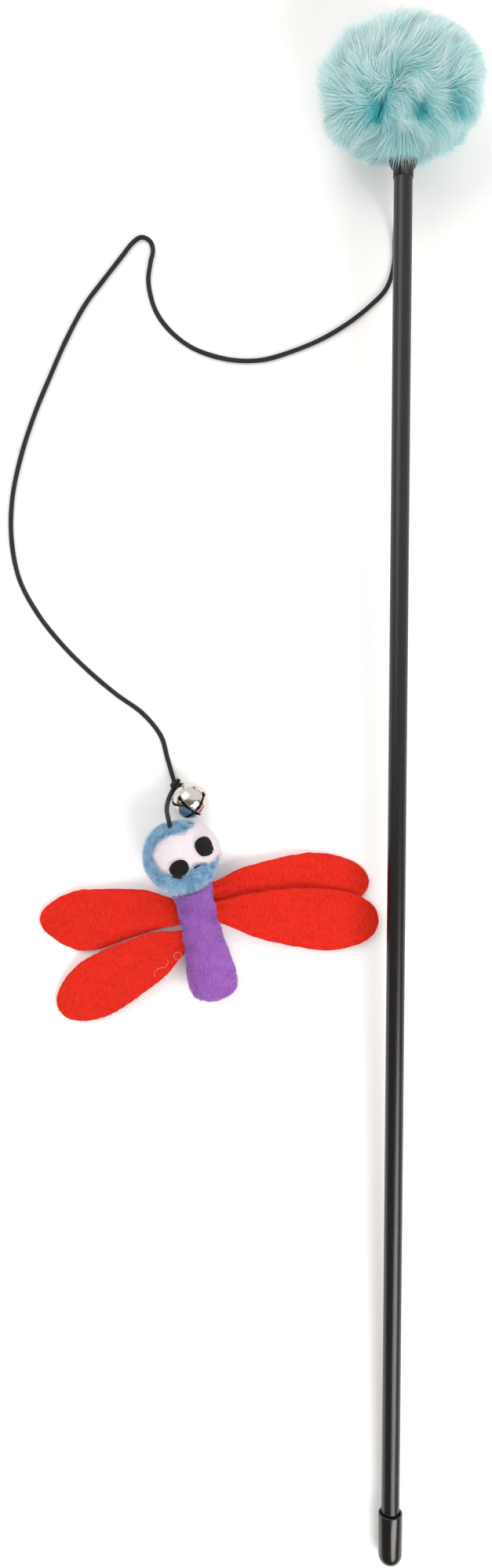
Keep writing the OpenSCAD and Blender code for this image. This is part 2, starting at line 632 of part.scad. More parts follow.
module wing_left_front() {
    color("#e8250f") wing(-1, left_front_root_y, wing_left_front_len, 8.6, wing_front_half,
        left_front_lead_shares, left_front_trail_shares, front_root_z, felt / 2, 1.5);
}
module wing_left_back() {
    color("#e8250f") wing(-1, left_back_root_y, wing_left_back_len, -16.5, wing_back_half,
        left_back_lead_shares, left_back_trail_shares, back_root_z, felt * 0.67, 1);
}
module wing_right_front() {
    color("#e8250f") wing(1, right_front_root_y, wing_right_front_len, -7.5, wing_front_half,
        right_front_lead_shares, right_front_trail_shares, front_root_z, felt / 2, 1.5);
}
module wing_right_back() {
    color("#e8250f") wing(1, right_back_root_y, wing_right_back_len, -16.6, wing_back_half,
        right_back_lead_shares, right_back_trail_shares, back_root_z, felt * 1.5, 1);
}

// Places that the joints and mounts take
hinge_out = body_w / 2 * 0.91;
hinge_z = back_root_z + felt / 2;
echo(slope = slope, rod_foot = rod_foot, pompom_mid = pompom_mid, knot = from_lure(knot_mid));
echo(head = from_lure(head_mid), bell = from_lure(bell_mid), eye = from_lure(eye_mid),
    bell_axis = turned(bell_way, lure_lean), swing_axis = turned(eye_normal, lure_lean));
echo(left_hinge = from_lure([body_right - hinge_out, left_front_root_y, hinge_z]),
    right_hinge = from_lure([body_right + hinge_out, left_front_root_y, hinge_z]),
    lure_way = turned([0, 1, 0], lure_lean), pellet_travel = 2 * pellet_drop);

tube();
end_cap();
top_plug();
plug_knot();
pompom_cover();
pompom_stuffing();
pompom_thread();
cord();
bell_knot();
lure_cord();
head_knot();
bell_crown();
bell_petals();
bell_eye();
bell_pellet();
head_cover();
head_stuffing();
eye_patch();
pupil_left();
pupil_right();
smile();
body_cover();
body_stuffing();
wing_left_front();
wing_left_back();
wing_right_front();
wing_right_back();
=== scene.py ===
"""Looks of a cat teaser wand: a capped rod with a fur pom-pom, an elastic cord, a jingle bell and a stuffed
dragonfly with felt wings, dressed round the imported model. Lengths are millimetres until a mesh is made."""

import logging
import math
from collections.abc import Sequence
from dataclasses import dataclass, replace
from enum import Enum

import bmesh
import bpy
import numpy as np
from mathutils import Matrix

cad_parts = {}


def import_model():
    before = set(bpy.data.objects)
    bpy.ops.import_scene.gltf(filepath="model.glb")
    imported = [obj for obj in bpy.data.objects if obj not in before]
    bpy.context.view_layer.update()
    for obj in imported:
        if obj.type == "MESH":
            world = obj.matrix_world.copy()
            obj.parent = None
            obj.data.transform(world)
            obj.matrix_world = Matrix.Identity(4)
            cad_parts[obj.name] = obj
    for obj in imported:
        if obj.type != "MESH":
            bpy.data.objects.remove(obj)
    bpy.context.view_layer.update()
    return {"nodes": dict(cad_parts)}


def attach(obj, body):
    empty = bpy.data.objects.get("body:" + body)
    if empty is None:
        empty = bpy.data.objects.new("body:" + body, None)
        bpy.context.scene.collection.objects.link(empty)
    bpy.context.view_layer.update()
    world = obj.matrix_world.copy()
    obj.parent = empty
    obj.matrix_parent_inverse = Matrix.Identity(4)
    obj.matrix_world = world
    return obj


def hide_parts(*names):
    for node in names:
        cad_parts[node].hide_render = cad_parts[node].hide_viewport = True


LOG = logging.getLogger("teaser_wand")
MM = 0.001
Array = np.ndarray
Random = np.random.Generator
Object, Node, Socket = bpy.types.Object, bpy.types.Node, bpy.types.NodeSocket
Place = tuple[float, float, float]
Pair = tuple[float, float]


# Small mathematics


def unit(v: Array) -> Array:
    """Vectors of length one, the same way as v."""
    return v / np.maximum(np.linalg.norm(v, axis=-1, keepdims=True), 1e-12)


def dot(a: Array, b: Array) -> Array:
    """Scalar products, with the last axis kept."""
    return (a * b).sum(-1, keepdims=True)


def square_to(v: Array, way: Array) -> Array:
    """The part of v that is square to way, of length one."""
    return unit(v - dot(v, way) * way)


def mix(a: Array | float, b: Array | float, share: Array | float) -> Array | float:
    """Runs straight from a at share 0 to b at share 1."""
    return a + (b - a) * share


def rise(x: Array, low: float, high: float) -> Array:
    """Runs smoothly from 0 at low to 1 at high: three squares less two cubes of the share between them."""
    t = np.clip((x - low) / (high - low), 0, 1)
    return t * t * (3 - 2 * t)


def ball_way(right: Array | float, forth: Array | float) -> Array:
    """Directions on a ball: degrees to the right of straight up, then degrees towards +Y."""
    right, forth = np.radians(right), np.radians(forth)
    return np.stack([np.cos(forth) * np.sin(right), np.sin(forth) + 0 * right, np.cos(forth) * np.cos(right)], -1)


def turned(p: Array, degrees: float) -> Array:
    """Points turned about the Z axis."""
    c, s = math.cos(math.radians(degrees)), math.sin(math.radians(degrees))
    return np.stack([p[..., 0] * c - p[..., 1] * s, p[..., 0] * s + p[..., 1] * c, p[..., 2]], -1)


def above(points: Array, lowest: float) -> Array:
    """Points with what would be under a height pressed flat at it."""
    return np.concatenate([points[..., :2], np.maximum(points[..., 2:], lowest)], -1)


def fan(side: Array, other: Array, turn: Array) -> Array:
    """Directions at angles from side towards other: a cosine of the one and a sine of the other."""
    return side * np.cos(turn)[..., None] + other * np.sin(turn)[..., None]


def full_turn(count: int) -> Array:
    """Even angles once round, in radians."""
    return 2 * math.pi * np.arange(count) / count


def degrees_from(way: Array, ways: Array) -> Array:
    """Angles of unit vectors from one way: the arc cosine of their products with it."""
    return np.degrees(np.arccos(np.clip(ways @ way, -1, 1)))


def bell_curve(x: Array, spread: float) -> Array:
    """Falls from 1 at x 0 to both sides: e to the minus square of x over the spread."""
    return np.exp(-((x / spread) ** 2))


def root_to_tip(count: int) -> Array:
    """Even shares of the way along fibres, shaped to go with fibres by stations by three."""
    return np.linspace(0, 1, count)[None, :, None]


def strayed(rng: Random, fibres: Array, far: float) -> Array:
    """Fibres bent aside at random, so far at the tip, by the square of the share from the root."""
    return fibres + rng.normal(size=(len(fibres), 1, 3)) * far * root_to_tip(fibres.shape[1]) ** 2


def waves(points: Array, size: float, seed: int, count: int = 9) -> Array:
    """A smooth random field with a spread of one: a sum of sine waves, each about size long, in seeded directions.

    Args:
        points: places, in millimetres.
        size: usual length of a wave, in millimetres.
        seed: picks the directions and phases.
        count: how many waves are added.

    Returns:
        One value for each point.
    """
    rng = np.random.default_rng(seed)
    ways = unit(rng.normal(size=(count, 3))) * rng.uniform(0.6, 1.5, (count, 1)) * 2 * math.pi / size
    return np.sin(points @ ways.T + rng.uniform(0, 2 * math.pi, count)).sum(-1) / math.sqrt(count / 2)


def curve_through(points: Array, steps: int, closed: bool = False) -> Array:
    """Catmull-Rom curve: between two points a cubic leaves along the line from the point before to the point after.

    Args:
        points: the points, one a row.
        steps: points made for each span.
        closed: whether the last point runs on to the first.

    Returns:
        Points along the curve, one a row.
    """
    p = np.vstack([points[-1:], points, points[:2]] if closed else [points[:1], points, points[-1:]])
    t = (np.arange(steps) / steps)[None, :, None]
    a, b, c, d = (p[i : len(p) - 3 + i, None] for i in range(4))
    made = (2 * b + (c - a) * t + (2 * a - 5 * b + 4 * c - d) * t**2 + (3 * b - a - 3 * c + d) * t**3) / 2
    made = made.reshape(-1, points.shape[1])
    return made if closed else np.vstack([made, points[-1:]])


def along(line: Array) -> Array:
    """Distance run at each point of a line."""
    return np.concatenate([[0], np.cumsum(np.linalg.norm(np.diff(line, axis=0), axis=1))])


def evenly(line: Array, count: int) -> Array:
    """The same line with its points at even distances.

    Args:
        line: the points, one a row.
        count: how many are wanted.

    Returns:
        Points along the line.
    """
    run = along(line)
    even = np.linspace(0, run[-1], count)
    return np.stack([np.interp(even, run, line[:, i]) for i in range(line.shape[1])], -1)


def even_ways(count: int, seed: int) -> Array:
    """Directions spread over a ball: a golden spiral from pole to pole, each moved a little at random.

    Args:
        count: how many.
        seed: picks the small moves.

    Returns:
        Unit vectors, one a row.
    """
    rng = np.random.default_rng(seed)
    k = np.arange(count) + 0.5
    z, turn = 1 - 2 * k / count, math.pi * (1 + 5**0.5) * k
    flat = np.sqrt(1 - z * z)
    ways = np.stack([flat * np.cos(turn), flat * np.sin(turn), z], -1)
    return unit(ways + rng.normal(size=(count, 3)) * 1.4 / math.sqrt(count))


def ball_frame(pole: Array, side: Array) -> tuple[Array, Array, Array]:
    """Three directions square to each other, for angles round a pole.

    Args:
        pole: the first direction.
        side: what the second leans to.

    Returns:
        The pole, the side and their cross product, of length one.
    """
    pole = unit(pole)
    side = square_to(side, pole)
    return pole, side, np.cross(pole, side)


def ball_grid(pole: Array, side: Array, rows: int, columns: int) -> Array:
    """Directions in rings round a pole: the angle from the pole grows by row, the turn round it by column.

    Args:
        pole: direction that the first ring goes round, one step away.
        side: direction that column 0 leans to.
        rows: rings between the poles.
        columns: directions in a ring.

    Returns:
        Unit vectors, rows by columns by three.
    """
    pole, side, other = ball_frame(pole, side)
    angle = np.radians(180 / (rows + 1) * np.arange(1, rows + 1))
    return fan(pole, fan(side, -other, full_turn(columns)), angle[:, None])


def ellipsoid_reach(ways: Array, size: Sequence[float]) -> Array:
    """Distance from the middle of an ellipsoid to its surface along each direction."""
    return 1 / np.linalg.norm(2 * ways / np.array(size), axis=-1)


# Shapes and meshes


@dataclass
class Shape:
    """A mesh in the making: points in millimetres, faces as arrays of point numbers, two surface coordinates for
    each corner of each face, and whether it is shaded smooth."""

    points: Array
    faces: list[Array]
    corners: list[Array]
    smooth: bool = True

    def in_lure(self) -> "Shape":
        """The shape from the lure's own axes, put in its place."""
        return replace(self, points=from_lure(self.points))


def joined(shapes: Sequence[Shape]) -> Shape:
    """Several shapes as one.

    Args:
        shapes: the shapes, in order.

    Returns:
        One shape with all their points and faces.
    """
    starts = np.cumsum([0] + [len(s.points) for s in shapes])
    faces = [f + start for s, start in zip(shapes, starts) for f in s.faces]
    return Shape(np.vstack([s.points for s in shapes]), faces, [c for s in shapes for c in s.corners])


def ring_quads(here: Array) -> tuple[Array, Array]:
    """Quads between rings of point numbers, and the number one further round for each point."""
    after = np.roll(here, -1, 1)
    return np.stack([here[:-1], after[:-1], after[1:], here[1:]], -1).reshape(-1, 4), after


def skin(grid: Array, run: Array | None = None) -> Shape:
    """A closed skin over rings of points, which turn by the right hand about the way from first to last. The ends
    are closed by fans to their middles.

    Args:
        grid: rings by points by three.
        run: surface coordinate of each ring; without it, the ring's share of the way.

    Returns:
        The shape; its first surface coordinate runs once round a ring.
    """
    rows, columns = grid.shape[:2]
    run = np.arange(rows) / (rows - 1) if run is None else run
    here = np.arange(rows * columns).reshape(rows, columns)
    quads, after = ring_quads(here)
    u, v0, v1 = np.broadcast_arrays(np.arange(columns) / columns, run[:-1, None], run[1:, None])
    step = 1 / columns
    corners = np.stack([u, v0, u + step, v0, u + step, v1, u, v1], -1).reshape(-1, 4, 2)
    points = np.vstack([grid.reshape(-1, 3), grid[0].mean(0), grid[-1].mean(0)])
    first, last = np.full(columns, rows * columns), np.full(columns, rows * columns + 1)
    fans = np.vstack([np.stack([first, after[0], here[0]], -1), np.stack([last, here[-1], after[-1]], -1)])
    flat = np.zeros((2 * columns, 3, 2))
    flat[:columns, :, 1], flat[columns:, :, 1] = run[0], run[-1]
    return Shape(points, [quads, fans], [corners, flat])


def tube(line: Array, radius: Array | float, sides: int, reference: Sequence[float]) -> Shape:
    """A tube along a line: rings square to it, their first side the part of reference that is square to the line.

    Args:
        line: the middle line.
        radius: one number, or rings by sides.
        sides: points in a ring.
        reference: a direction that the line never takes.

    Returns:
        The shape; its second surface coordinate is the distance run, in millimetres.
    """
    way = unit(np.gradient(line, axis=0))
    side = square_to(np.array(reference, float), way)
    spokes = fan(side[:, None], np.cross(way, side)[:, None], full_turn(sides))
    radius = np.broadcast_to(radius, (len(line), sides))
    return skin(line[:, None] + spokes * radius[..., None], along(line))


def hairs(lines: Array, radius: Array, taper: Sequence[float], tone: Array, seed: int) -> Shape:
    """Three-sided closed hairs, each along its own line to a point. They are shaded flat, because smooth shading
    on three sides loses about a fifth of the light.

    Args:
        lines: hairs by stations by three; the last station is the tip.
        radius: radius of each hair at its thickest.
        taper: share of that radius at each station but the tip.
        tone: a value from 0 to 1 for each hair, kept as its second surface coordinate.
        seed: picks how each hair is turned round its own line.

    Returns:
        The shape; its first surface coordinate runs from root to tip.
    """
    rng = np.random.default_rng(seed)
    count, rings = len(lines), lines.shape[1] - 1
    way = unit(np.gradient(lines, axis=1))[:, :-1]
    side = square_to(unit(rng.normal(size=(count, 1, 3))), way)
    spokes = fan(side[:, :, None], np.cross(way, side)[:, :, None], full_turn(3))
    thick = radius[:, None] * np.array(taper)[None, :]
    body = lines[:, :-1, None] + spokes * thick[..., None, None]
    points = np.concatenate([body.reshape(count, -1, 3), lines[:, -1:]], 1)
    here = np.arange(3 * rings).reshape(rings, 3)
    quads, after = ring_quads(here)
    ends = np.vstack([np.stack([here[-1], after[-1], np.full(3, 3 * rings)], -1), [[2, 1, 0]]])
    share = np.append(np.repeat(np.arange(rings) / rings, 3), 1.0)
    shift = (np.arange(count) * points.shape[1])[:, None, None]
    faces, corners = [], []
    for local in (quads, ends):
        faces.append((local[None] + shift).reshape(-1, local.shape[1]))
        u = np.broadcast_to(share[local], (count, *local.shape))
        v = np.broadcast_to(tone[:, None, None], u.shape)
        corners.append(np.stack([u, v], -1).reshape(-1, local.shape[1], 2))
    return Shape(points.reshape(-1, 3), faces, corners, smooth=False)


@dataclass(frozen=True)
class Nap:
    """A lot of fibres: how many, the least and greatest length and radius, the middle and the spread of their tone,
    and the share of the radius at each station but the tip."""

    count: int
    length: Pair
    radius: Pair
    tone: float
    tone_spread: float
    taper: tuple[float, ...] = (1.0, 0.9, 0.6)

    def lengths(self, rng: Random, count: int) -> Array:
        """Random lengths, shaped to go with fibres by stations by three."""
        return rng.uniform(*self.length, (count, 1, 1))

    def grown(self, lines: Array, rng: Random, seed: int, more: Array | float = 0.0) -> Shape:
        """The fibres along their lines, with random tones, to which more is added, and random radii."""
        tone = np.clip(self.tone + self.tone_spread * rng.normal(size=len(lines)) + more, 0, 1)
        return hairs(lines, rng.uniform(*self.radius, len(lines)), self.taper, tone, seed)


def facing_out(shape: Shape) -> Shape:
    """Turns every face round if the faces together enclose a negative volume: a third of the sum over the faces of
    a corner times the face's area vector.

    Args:
        shape: a closed shape.

    Returns:
        The shape, with its faces turned outward.
    """
    volume = 0.0
    for face in shape.faces:
        corner = shape.points[face]
        for k in range(1, face.shape[1] - 1):
            volume += float((corner[:, 0] * np.cross(corner[:, k], corner[:, k + 1])).sum()) / 6
    if volume >= 0:
        return shape
    return replace(shape, faces=[f[:, ::-1] for f in shape.faces], corners=[c[:, ::-1] for c in shape.corners])


# Materials


def linear(colour: str) -> tuple[float, float, float, float]:
    """The linear colour of an sRGB hex value."""
    parts = [int(colour[i : i + 2], 16) / 255 for i in (1, 3, 5)]
    return (*(c / 12.92 if c <= 0.04045 else ((c + 0.055) / 1.055) ** 2.4 for c in parts), 1.0)


@dataclass
class Brush:
    """Paints one shader: adds nodes to its tree. Inputs are constants or outputs of other nodes."""

    tree: bpy.types.NodeTree
    shader: Node

    def put(self, inputs: dict, node: Node | None = None) -> None:
        """Gives inputs of a node their constants and links.

        Args:
            inputs: constants and links, by name or number.
            node: whose inputs they are; without it, the shader's.
        """
        for key, value in inputs.items():
            socket = (node or self.shader).inputs[key]
            if isinstance(value, Socket):
                self.tree.links.new(value, socket)
            else:
                socket.default_value = value

    def add(self, kind: str, inputs: dict | None = None, output: int | str = 0, **settings: object) -> Socket:
        """Adds a node.

        Args:
            kind: the node's type, without ShaderNode.
            inputs: constants and links, by name or number.
            output: name or number of the output that is wanted.
            settings: the node's own properties.

        Returns:
            The output.
        """
        node = self.tree.nodes.new("ShaderNode" + kind)
        for key, value in settings.items():
            setattr(node, key, value)
        self.put(inputs or {}, node)
        return node.outputs[output]

    def place(self) -> Socket:
        """The object's own coordinates, in metres."""
        return self.add("TexCoord", output="Object")

    def surface(self) -> tuple[Socket, Socket]:
        """The two surface coordinates."""
        first = self.add("SeparateXYZ", {0: self.add("UVMap", uv_map="surface")})
        return first, first.node.outputs[1]

    def calc(self, operation: str, *values: Socket | float) -> Socket:
        """Result of a sum on one or two values."""
        return self.add("Math", dict(enumerate(values)), operation=operation)

    def noise(self, place: Socket, grain_mm: float, **inputs: float) -> Socket:
        """A noise whose grains are about this large."""
        return self.add("TexNoise", {"Vector": place, "Scale": 1 / (grain_mm * MM), **inputs})

    def ramp(
        self, value: Socket, start: float = 0, end: float = 1, low: float = 0, high: float = 1, **settings: object
    ) -> Socket:
        """Runs from low where the value is start to high where it is end."""
        return self.add("MapRange", {0: value, 1: start, 2: end, 3: low, 4: high}, **settings)

    def blend(self, share: Socket, low: Socket | str, high: str) -> Socket:
        """A colour that runs from low at share 0 to high at share 1. Sockets 6, 7 and 2 are the node's colours."""
        low = linear(low) if isinstance(low, str) else low
        return self.add("Mix", {0: share, 6: low, 7: linear(high)}, 2, data_type="RGBA")

    def emboss(self, height: Socket, strength: float, depth_mm: float, **settings: object) -> None:
        """Makes the shader's surface look raised by a height."""
        inputs = {"Strength": strength, "Distance": depth_mm * MM, "Height": height}
        self.put({"Normal": self.add("Bump", inputs, **settings)})

    def sheen(self, weight: float, roughness: float) -> None:
        """Gives the shader the soft edge light of fine fibres."""
        self.put({"Sheen Weight": weight, "Sheen Roughness": roughness})


@dataclass(frozen=True)
class Finish:
    """What a surface is made of: a principled shader that each kind of finish paints with its own nodes."""

    name: str
    colour: str
    roughness: float

    def material(self) -> bpy.types.Material:
        """The Blender material, made once.

        Returns:
            The material.
        """
        made = bpy.data.materials.get(self.name)
        if made is None:
            made = bpy.data.materials.new(self.name)
            made.use_nodes = True
            brush = Brush(made.node_tree, made.node_tree.nodes["Principled BSDF"])
            brush.put({"Base Color": linear(self.colour), "Roughness": self.roughness})
            self.paint(brush)
        return made

    def paint(self, brush: Brush) -> None:
        """Adds the nodes of this finish to the shader."""
        raise NotImplementedError


# Pieces


def linked(name: str, data: bpy.types.ID) -> Object:
    """A new object in the scene.

    Args:
        name: the object's name.
        data: its mesh, lamp or camera.

    Returns:
        The object.
    """
    made = bpy.data.objects.new(name, data)
    bpy.context.scene.collection.objects.link(made)
    return made


def mesh_of(shape: Shape, name: str) -> bpy.types.Mesh:
    """The mesh of a shape.

    Args:
        shape: the shape, in millimetres.
        name: the mesh's name.

    Returns:
        The mesh, facing out, with its surface coordinates.
    """
    shape = facing_out(shape)
    mesh = bpy.data.meshes.new(name)
    mesh.vertices.add(len(shape.points))
    mesh.vertices.foreach_set("co", (shape.points * MM).astype(np.float32).ravel())
    corner_points = np.concatenate([f.ravel() for f in shape.faces]).astype(np.int32)
    sizes = np.concatenate([np.full(len(f), f.shape[1]) for f in shape.faces])
    mesh.loops.add(len(corner_points))
    mesh.loops.foreach_set("vertex_index", corner_points)
    mesh.polygons.add(len(sizes))
    mesh.polygons.foreach_set("loop_start", np.concatenate([[0], np.cumsum(sizes)[:-1]]).astype(np.int32))
    mesh.polygons.foreach_set("use_smooth", np.full(len(sizes), shape.smooth))
    layer = mesh.uv_layers.new(name="surface")
    layer.data.foreach_set("uv", np.concatenate([c.reshape(-1) for c in shape.corners]).astype(np.float32))
    mesh.update(calc_edges=True)
    mesh.validate()
    return mesh


def smooth_copy(node: Object, name: str) -> bpy.types.Mesh:
    """A CAD node's mesh with its loose triangles joined, so that gloss runs smoothly over its facets.

    Args:
        node: the CAD node.
        name: the mesh's name.

    Returns:
        The mesh, smooth but for its sharp edges.
    """
    join_mm, sharp_deg = 0.001, 35.0
    work = bmesh.new()
    work.from_mesh(node.data)
    bmesh.ops.remove_doubles(work, verts=work.verts, dist=join_mm * MM)
    mesh = bpy.data.meshes.new(name)
    work.to_mesh(mesh)
    work.free()
    mesh.polygons.foreach_set("use_smooth", np.ones(len(mesh.polygons), bool))
    mesh.set_sharp_from_angle(angle=math.radians(sharp_deg))
    return mesh


def build(
    form: Shape | Object, name: str, finish: Finish, body: str, replaces: Sequence[str] = ()
) -> Object:
    """Makes a piece and lets it ride on a body.

    Args:
        form: its shape, in millimetres, or the CAD node that it is a smooth copy of.
        name: the piece's name.
        finish: what it is made of.
        body: the body that it rides on.
        replaces: the CAD nodes that it stands for.

    Returns:
        The piece, at the origin.
    """
    mesh = mesh_of(form, name) if isinstance(form, Shape) else smooth_copy(form, name)
    mesh.materials.append(finish.material())
    made = linked(name, mesh)
    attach(made, body)
    if replaces:
        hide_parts(*replaces)
    LOG.info("%s: %d points, %d faces, on %s", name, len(mesh.vertices), len(mesh.polygons), body)
    return made


def dress(node: Object, finish: Finish) -> None:
    """Gives a CAD node its finish.

    Args:
        node: the CAD node, which is shown as it is.
        finish: what it is made of.
    """
    node.data.materials.clear()
    node.data.materials.append(finish.material())
    LOG.info("%s: carried over as %s", node.name, finish.name)


# Finishes


@dataclass(frozen=True)
class Moulded(Finish):
    """Moulded or extruded plastic: a fine grain in the gloss, faint drawn lines, and a soft dusting of wear."""

    grain_mm: float = 0.4
    line_mm: float = 0.0
    coat: float = 0.0
    bump: float = 0.15

    def paint(self, brush: Brush) -> None:
        """A noise of the grain's size varies the gloss and the height; with lines, it is stretched along Y.

        Args:
            brush: paints the shader.
        """
        place = brush.place()
        if self.line_mm:
            place = brush.add("Mapping", {"Vector": place, "Scale": (1.0, self.grain_mm / self.line_mm, 1.0)})
        grain = brush.noise(place, self.grain_mm, Detail=4.0)
        gloss = brush.ramp(grain, low=max(self.roughness - 0.08, 0.02), high=self.roughness + 0.1)
        brush.put({"Roughness": gloss, "Coat Weight": self.coat, "Coat Roughness": 0.12})
        brush.emboss(grain, self.bump, 0.03)


@dataclass(frozen=True)
class Braid(Finish):
    """Braided elastic: matt black yarns that cross each other in two spirals, each yarn's crest painted lighter as a
    painted highlight and the gaps between painted darker as painted shade.
    """

    # Colour of the painted highlight on the yarns' crests
    light: str = "#2c2c2e"
    yarns: int = 8
    pitch_mm: float = 2.6

    def paint(self, brush: Brush) -> None:
        """Two waves that climb the tube in opposite spirals, multiplied, make the yarns' diamonds; their height sets
        both the bump and the colour, lighter on the crests as painted highlight and darker between as painted shade.

        Args:
            brush: paints the shader.
        """
        turn, run = brush.surface()
        crossed = []
        for way in (1, -1):
            phase = brush.calc("ADD", turn, brush.calc("MULTIPLY", run, way / self.pitch_mm))
            wave = brush.calc("SINE", brush.calc("MULTIPLY", phase, math.pi * self.yarns))
            crossed.append(brush.calc("ABSOLUTE", wave))
        yarn = brush.calc("MULTIPLY", *crossed)
        # Painted light and shade: the yarns' crests lighter, the gaps between them darker
        brush.put({"Base Color": brush.blend(yarn, self.colour, self.light)})
        brush.emboss(yarn, 0.6, 0.08)
        brush.sheen(0.08, 0.5)


@dataclass(frozen=True)
class Pile(Finish):
    """Fur or plush fibre: dark at the root, pale and a little glossy at the tip, no two quite alike."""

    tip: str = "#ffffff"
    deep: str = "#000000"
    tip_from: float = 0.25
    sheen: float = 0.3

    def paint(self, brush: Brush) -> None:
        """The first surface coordinate runs from root to tip, and the second is the fibre's own tone, into which the
        pom-pom's fibres also carry painted shade in its creases and painted light on the side away from the rod.

        Args:
            brush: paints the shader.
        """
        run, own = brush.surface()
        up = brush.ramp(run, self.tip_from, interpolation_type="SMOOTHSTEP")
        low = brush.blend(own, self.deep, self.colour)
        tone = brush.blend(brush.calc("MULTIPLY", up, own), low, self.tip)
        brush.put({"Base Color": tone, "Specular IOR Level": 0.2})
        brush.sheen(self.sheen, 0.4)


@dataclass(frozen=True)
class Backing(Finish):
    """Knitted backing cloth that the pile stands on, darker where the fibres shade it."""

    # Colour of the painted shade in the gaps between the loops
    deep: str = "#000000"
    loop_mm: float = 0.7

    def paint(self, brush: Brush) -> None:
        """A cell pattern of the loops' size makes small round bumps, with painted shade darkening the sunken gaps
        between them.

        Args:
            brush: paints the shader.
        """
        place = brush.place()
        loops = brush.add("TexVoronoi", {"Vector": place, "Scale": 1 / (self.loop_mm * MM)}, "Distance")
        share = brush.calc("MULTIPLY", loops, brush.noise(place, 6.0))
        brush.put({"Base Color": brush.blend(share, self.colour, self.deep), "Sheen Weight": 0.3})
        brush.emboss(loops, 0.5, 0.2, invert=True)


@dataclass(frozen=True)
class WoolFelt(Finish):
    """Pressed wool felt: matted fibres that run every way, cloudy in tone, with a soft edge light."""

    deep: str = "#000000"
    light: str = "#ffffff"
    fibre_mm: float = 0.35
    cloud_mm: float = 5.0
    sheen: float = 0.3
    bump: float = 0.5

    def paint(self, brush: Brush) -> None:
        """Two stretched noises, crossed, are the fibres; a wide noise is the cloudiness.

        Args:
            brush: paints the shader.
        """
        place, fibres = brush.place(), []
        for turn in (0.7, 2.3):
            laid = {"Vector": place, "Rotation": (0.0, 0.0, turn), "Scale": (1.0, 0.3, 1.0)}
            fibres.append(brush.noise(brush.add("Mapping", laid), self.fibre_mm, Detail=3.0, Distortion=0.6))
        mat = brush.calc("ADD", *fibres)
        wide = brush.ramp(brush.noise(place, self.cloud_mm, Detail=3.0), 0.3, 0.7)
        low = brush.blend(wide, self.deep, self.colour)
        tone = brush.blend(brush.ramp(mat, 0.75, 1.25), low, self.light)
        brush.put({"Base Color": tone, "Specular IOR Level": 0.25})
        brush.emboss(mat, self.bump, 0.12)
        brush.sheen(self.sheen, 0.5)


@dataclass(frozen=True)
class NickelPlate(Finish):
    """Bright nickel plate on stamped sheet: a warm mirror with a faint ripple from the press and fine rub marks."""

    def paint(self, brush: Brush) -> None:
        """A wide noise ripples the surface, and a fine one dulls it here and there.

        Args:
            brush: paints the shader.
        """
        place = brush.place()
        rub = brush.noise(place, 0.5, Detail=6.0)
        gloss = brush.ramp(rub, 0.4, 0.8, self.roughness, self.roughness + 0.12)
        brush.put({"Metallic": 1.0, "Roughness": gloss})
        brush.emboss(brush.noise(place, 4.0, Detail=1.0), 0.12, 0.3)


@dataclass(frozen=True)
class StudioPaper(Finish):
    """White paper floor: plain and matt, and white to the camera and in reflections where no shadow falls."""

    glow: float = 0.12
    far_glow: float = 0.8
    # Where the glow starts to grow and where it is full, in metres from the middle
    near: float = 0.4
    far: float = 1.3

    def paint(self, brush: Brush) -> None:
        """A glow is added for camera, glossy and transmission rays only, faint near the object and stronger where
        the lamps no longer reach, and a fine noise is the paper's tooth.

        Args:
            brush: paints the shader.
        """
        seen = brush.add("LightPath", output="Is Camera Ray")
        rays = seen.node.outputs
        for other in ("Is Glossy Ray", "Is Transmission Ray"):
            seen = brush.calc("MAXIMUM", seen, rays[other])
        place = brush.place()
        away = brush.add("VectorMath", {0: place}, "Value", operation="LENGTH")
        glow = brush.ramp(away, self.near, self.far, self.glow, self.far_glow)
        brush.put({"Emission Color": linear("#ffffff"), "Emission Strength": brush.calc("MULTIPLY", seen, glow)})
        brush.emboss(brush.noise(place, 0.6), 0.05, 0.05)


# Drawn polypropylene tube: black, satin, with fine lines along it from the die
ROD = Moulded("black_drawn_tube", "#131113", 0.27, grain_mm=0.25, line_mm=30.0, bump=0.15)
# Dipped vinyl: wet black gloss with a slightly uneven film
VINYL = Moulded("black_dipped_vinyl", "#0b0a0b", 0.22, grain_mm=3.0, coat=0.25, bump=0.5)
# Moulded plug in the same black, a little duller than the cap
PLUG = Moulded("black_moulded_plug", "#0f0f10", 0.42, grain_mm=0.3, bump=0.2)
# Braided elastic cord: matt, yarns just visible
ELASTIC = Braid("black_braided_elastic", "#101011", 0.85)
# Long acrylic fur: silky, pale aqua tips over teal roots; through the fibres' tone the teal also serves as painted
# shade in the creases, and the pale tips as painted light on the side away from the rod
FUR = Pile("aqua_fur_fibre", "#b2f6f8", 0.5, tip="#f2fefe", deep="#48c6ce", tip_from=-0.6, sheen=0.4)
FUR_BACK = Backing("aqua_fur_backing", "#4aa9ae", 0.9, deep="#2e8288", loop_mm=1.2)
# Short curly plush of the head
PLUSH = Pile("blue_plush_fibre", "#88c8ea", 0.65, tip="#daeefa", deep="#4092c8", tip_from=-0.4, sheen=0.4)
PLUSH_BACK = Backing("blue_plush_backing", "#80c0e4", 0.9, deep="#569ecc", loop_mm=0.8)
# Brushed knit of the body: ribs along it under a fine fuzz
KNIT = Backing("purple_brushed_knit", "#a764c6", 0.9, deep="#8446a8", loop_mm=0.6)
KNIT_FUZZ = Pile("purple_knit_fuzz", "#ac68c8", 0.7, tip="#d2aedc", deep="#8e4eac", tip_from=-0.1)
# Wool felts
RED_FELT = WoolFelt("red_wool_felt", "#d81a0a", 0.95, deep="#c21407", light="#e62c18", sheen=0.12)
RED_FUZZ = Pile("red_felt_fuzz", "#dc2412", 0.8, tip="#ee5a42", deep="#c81c0c", tip_from=0.0, sheen=0.1)
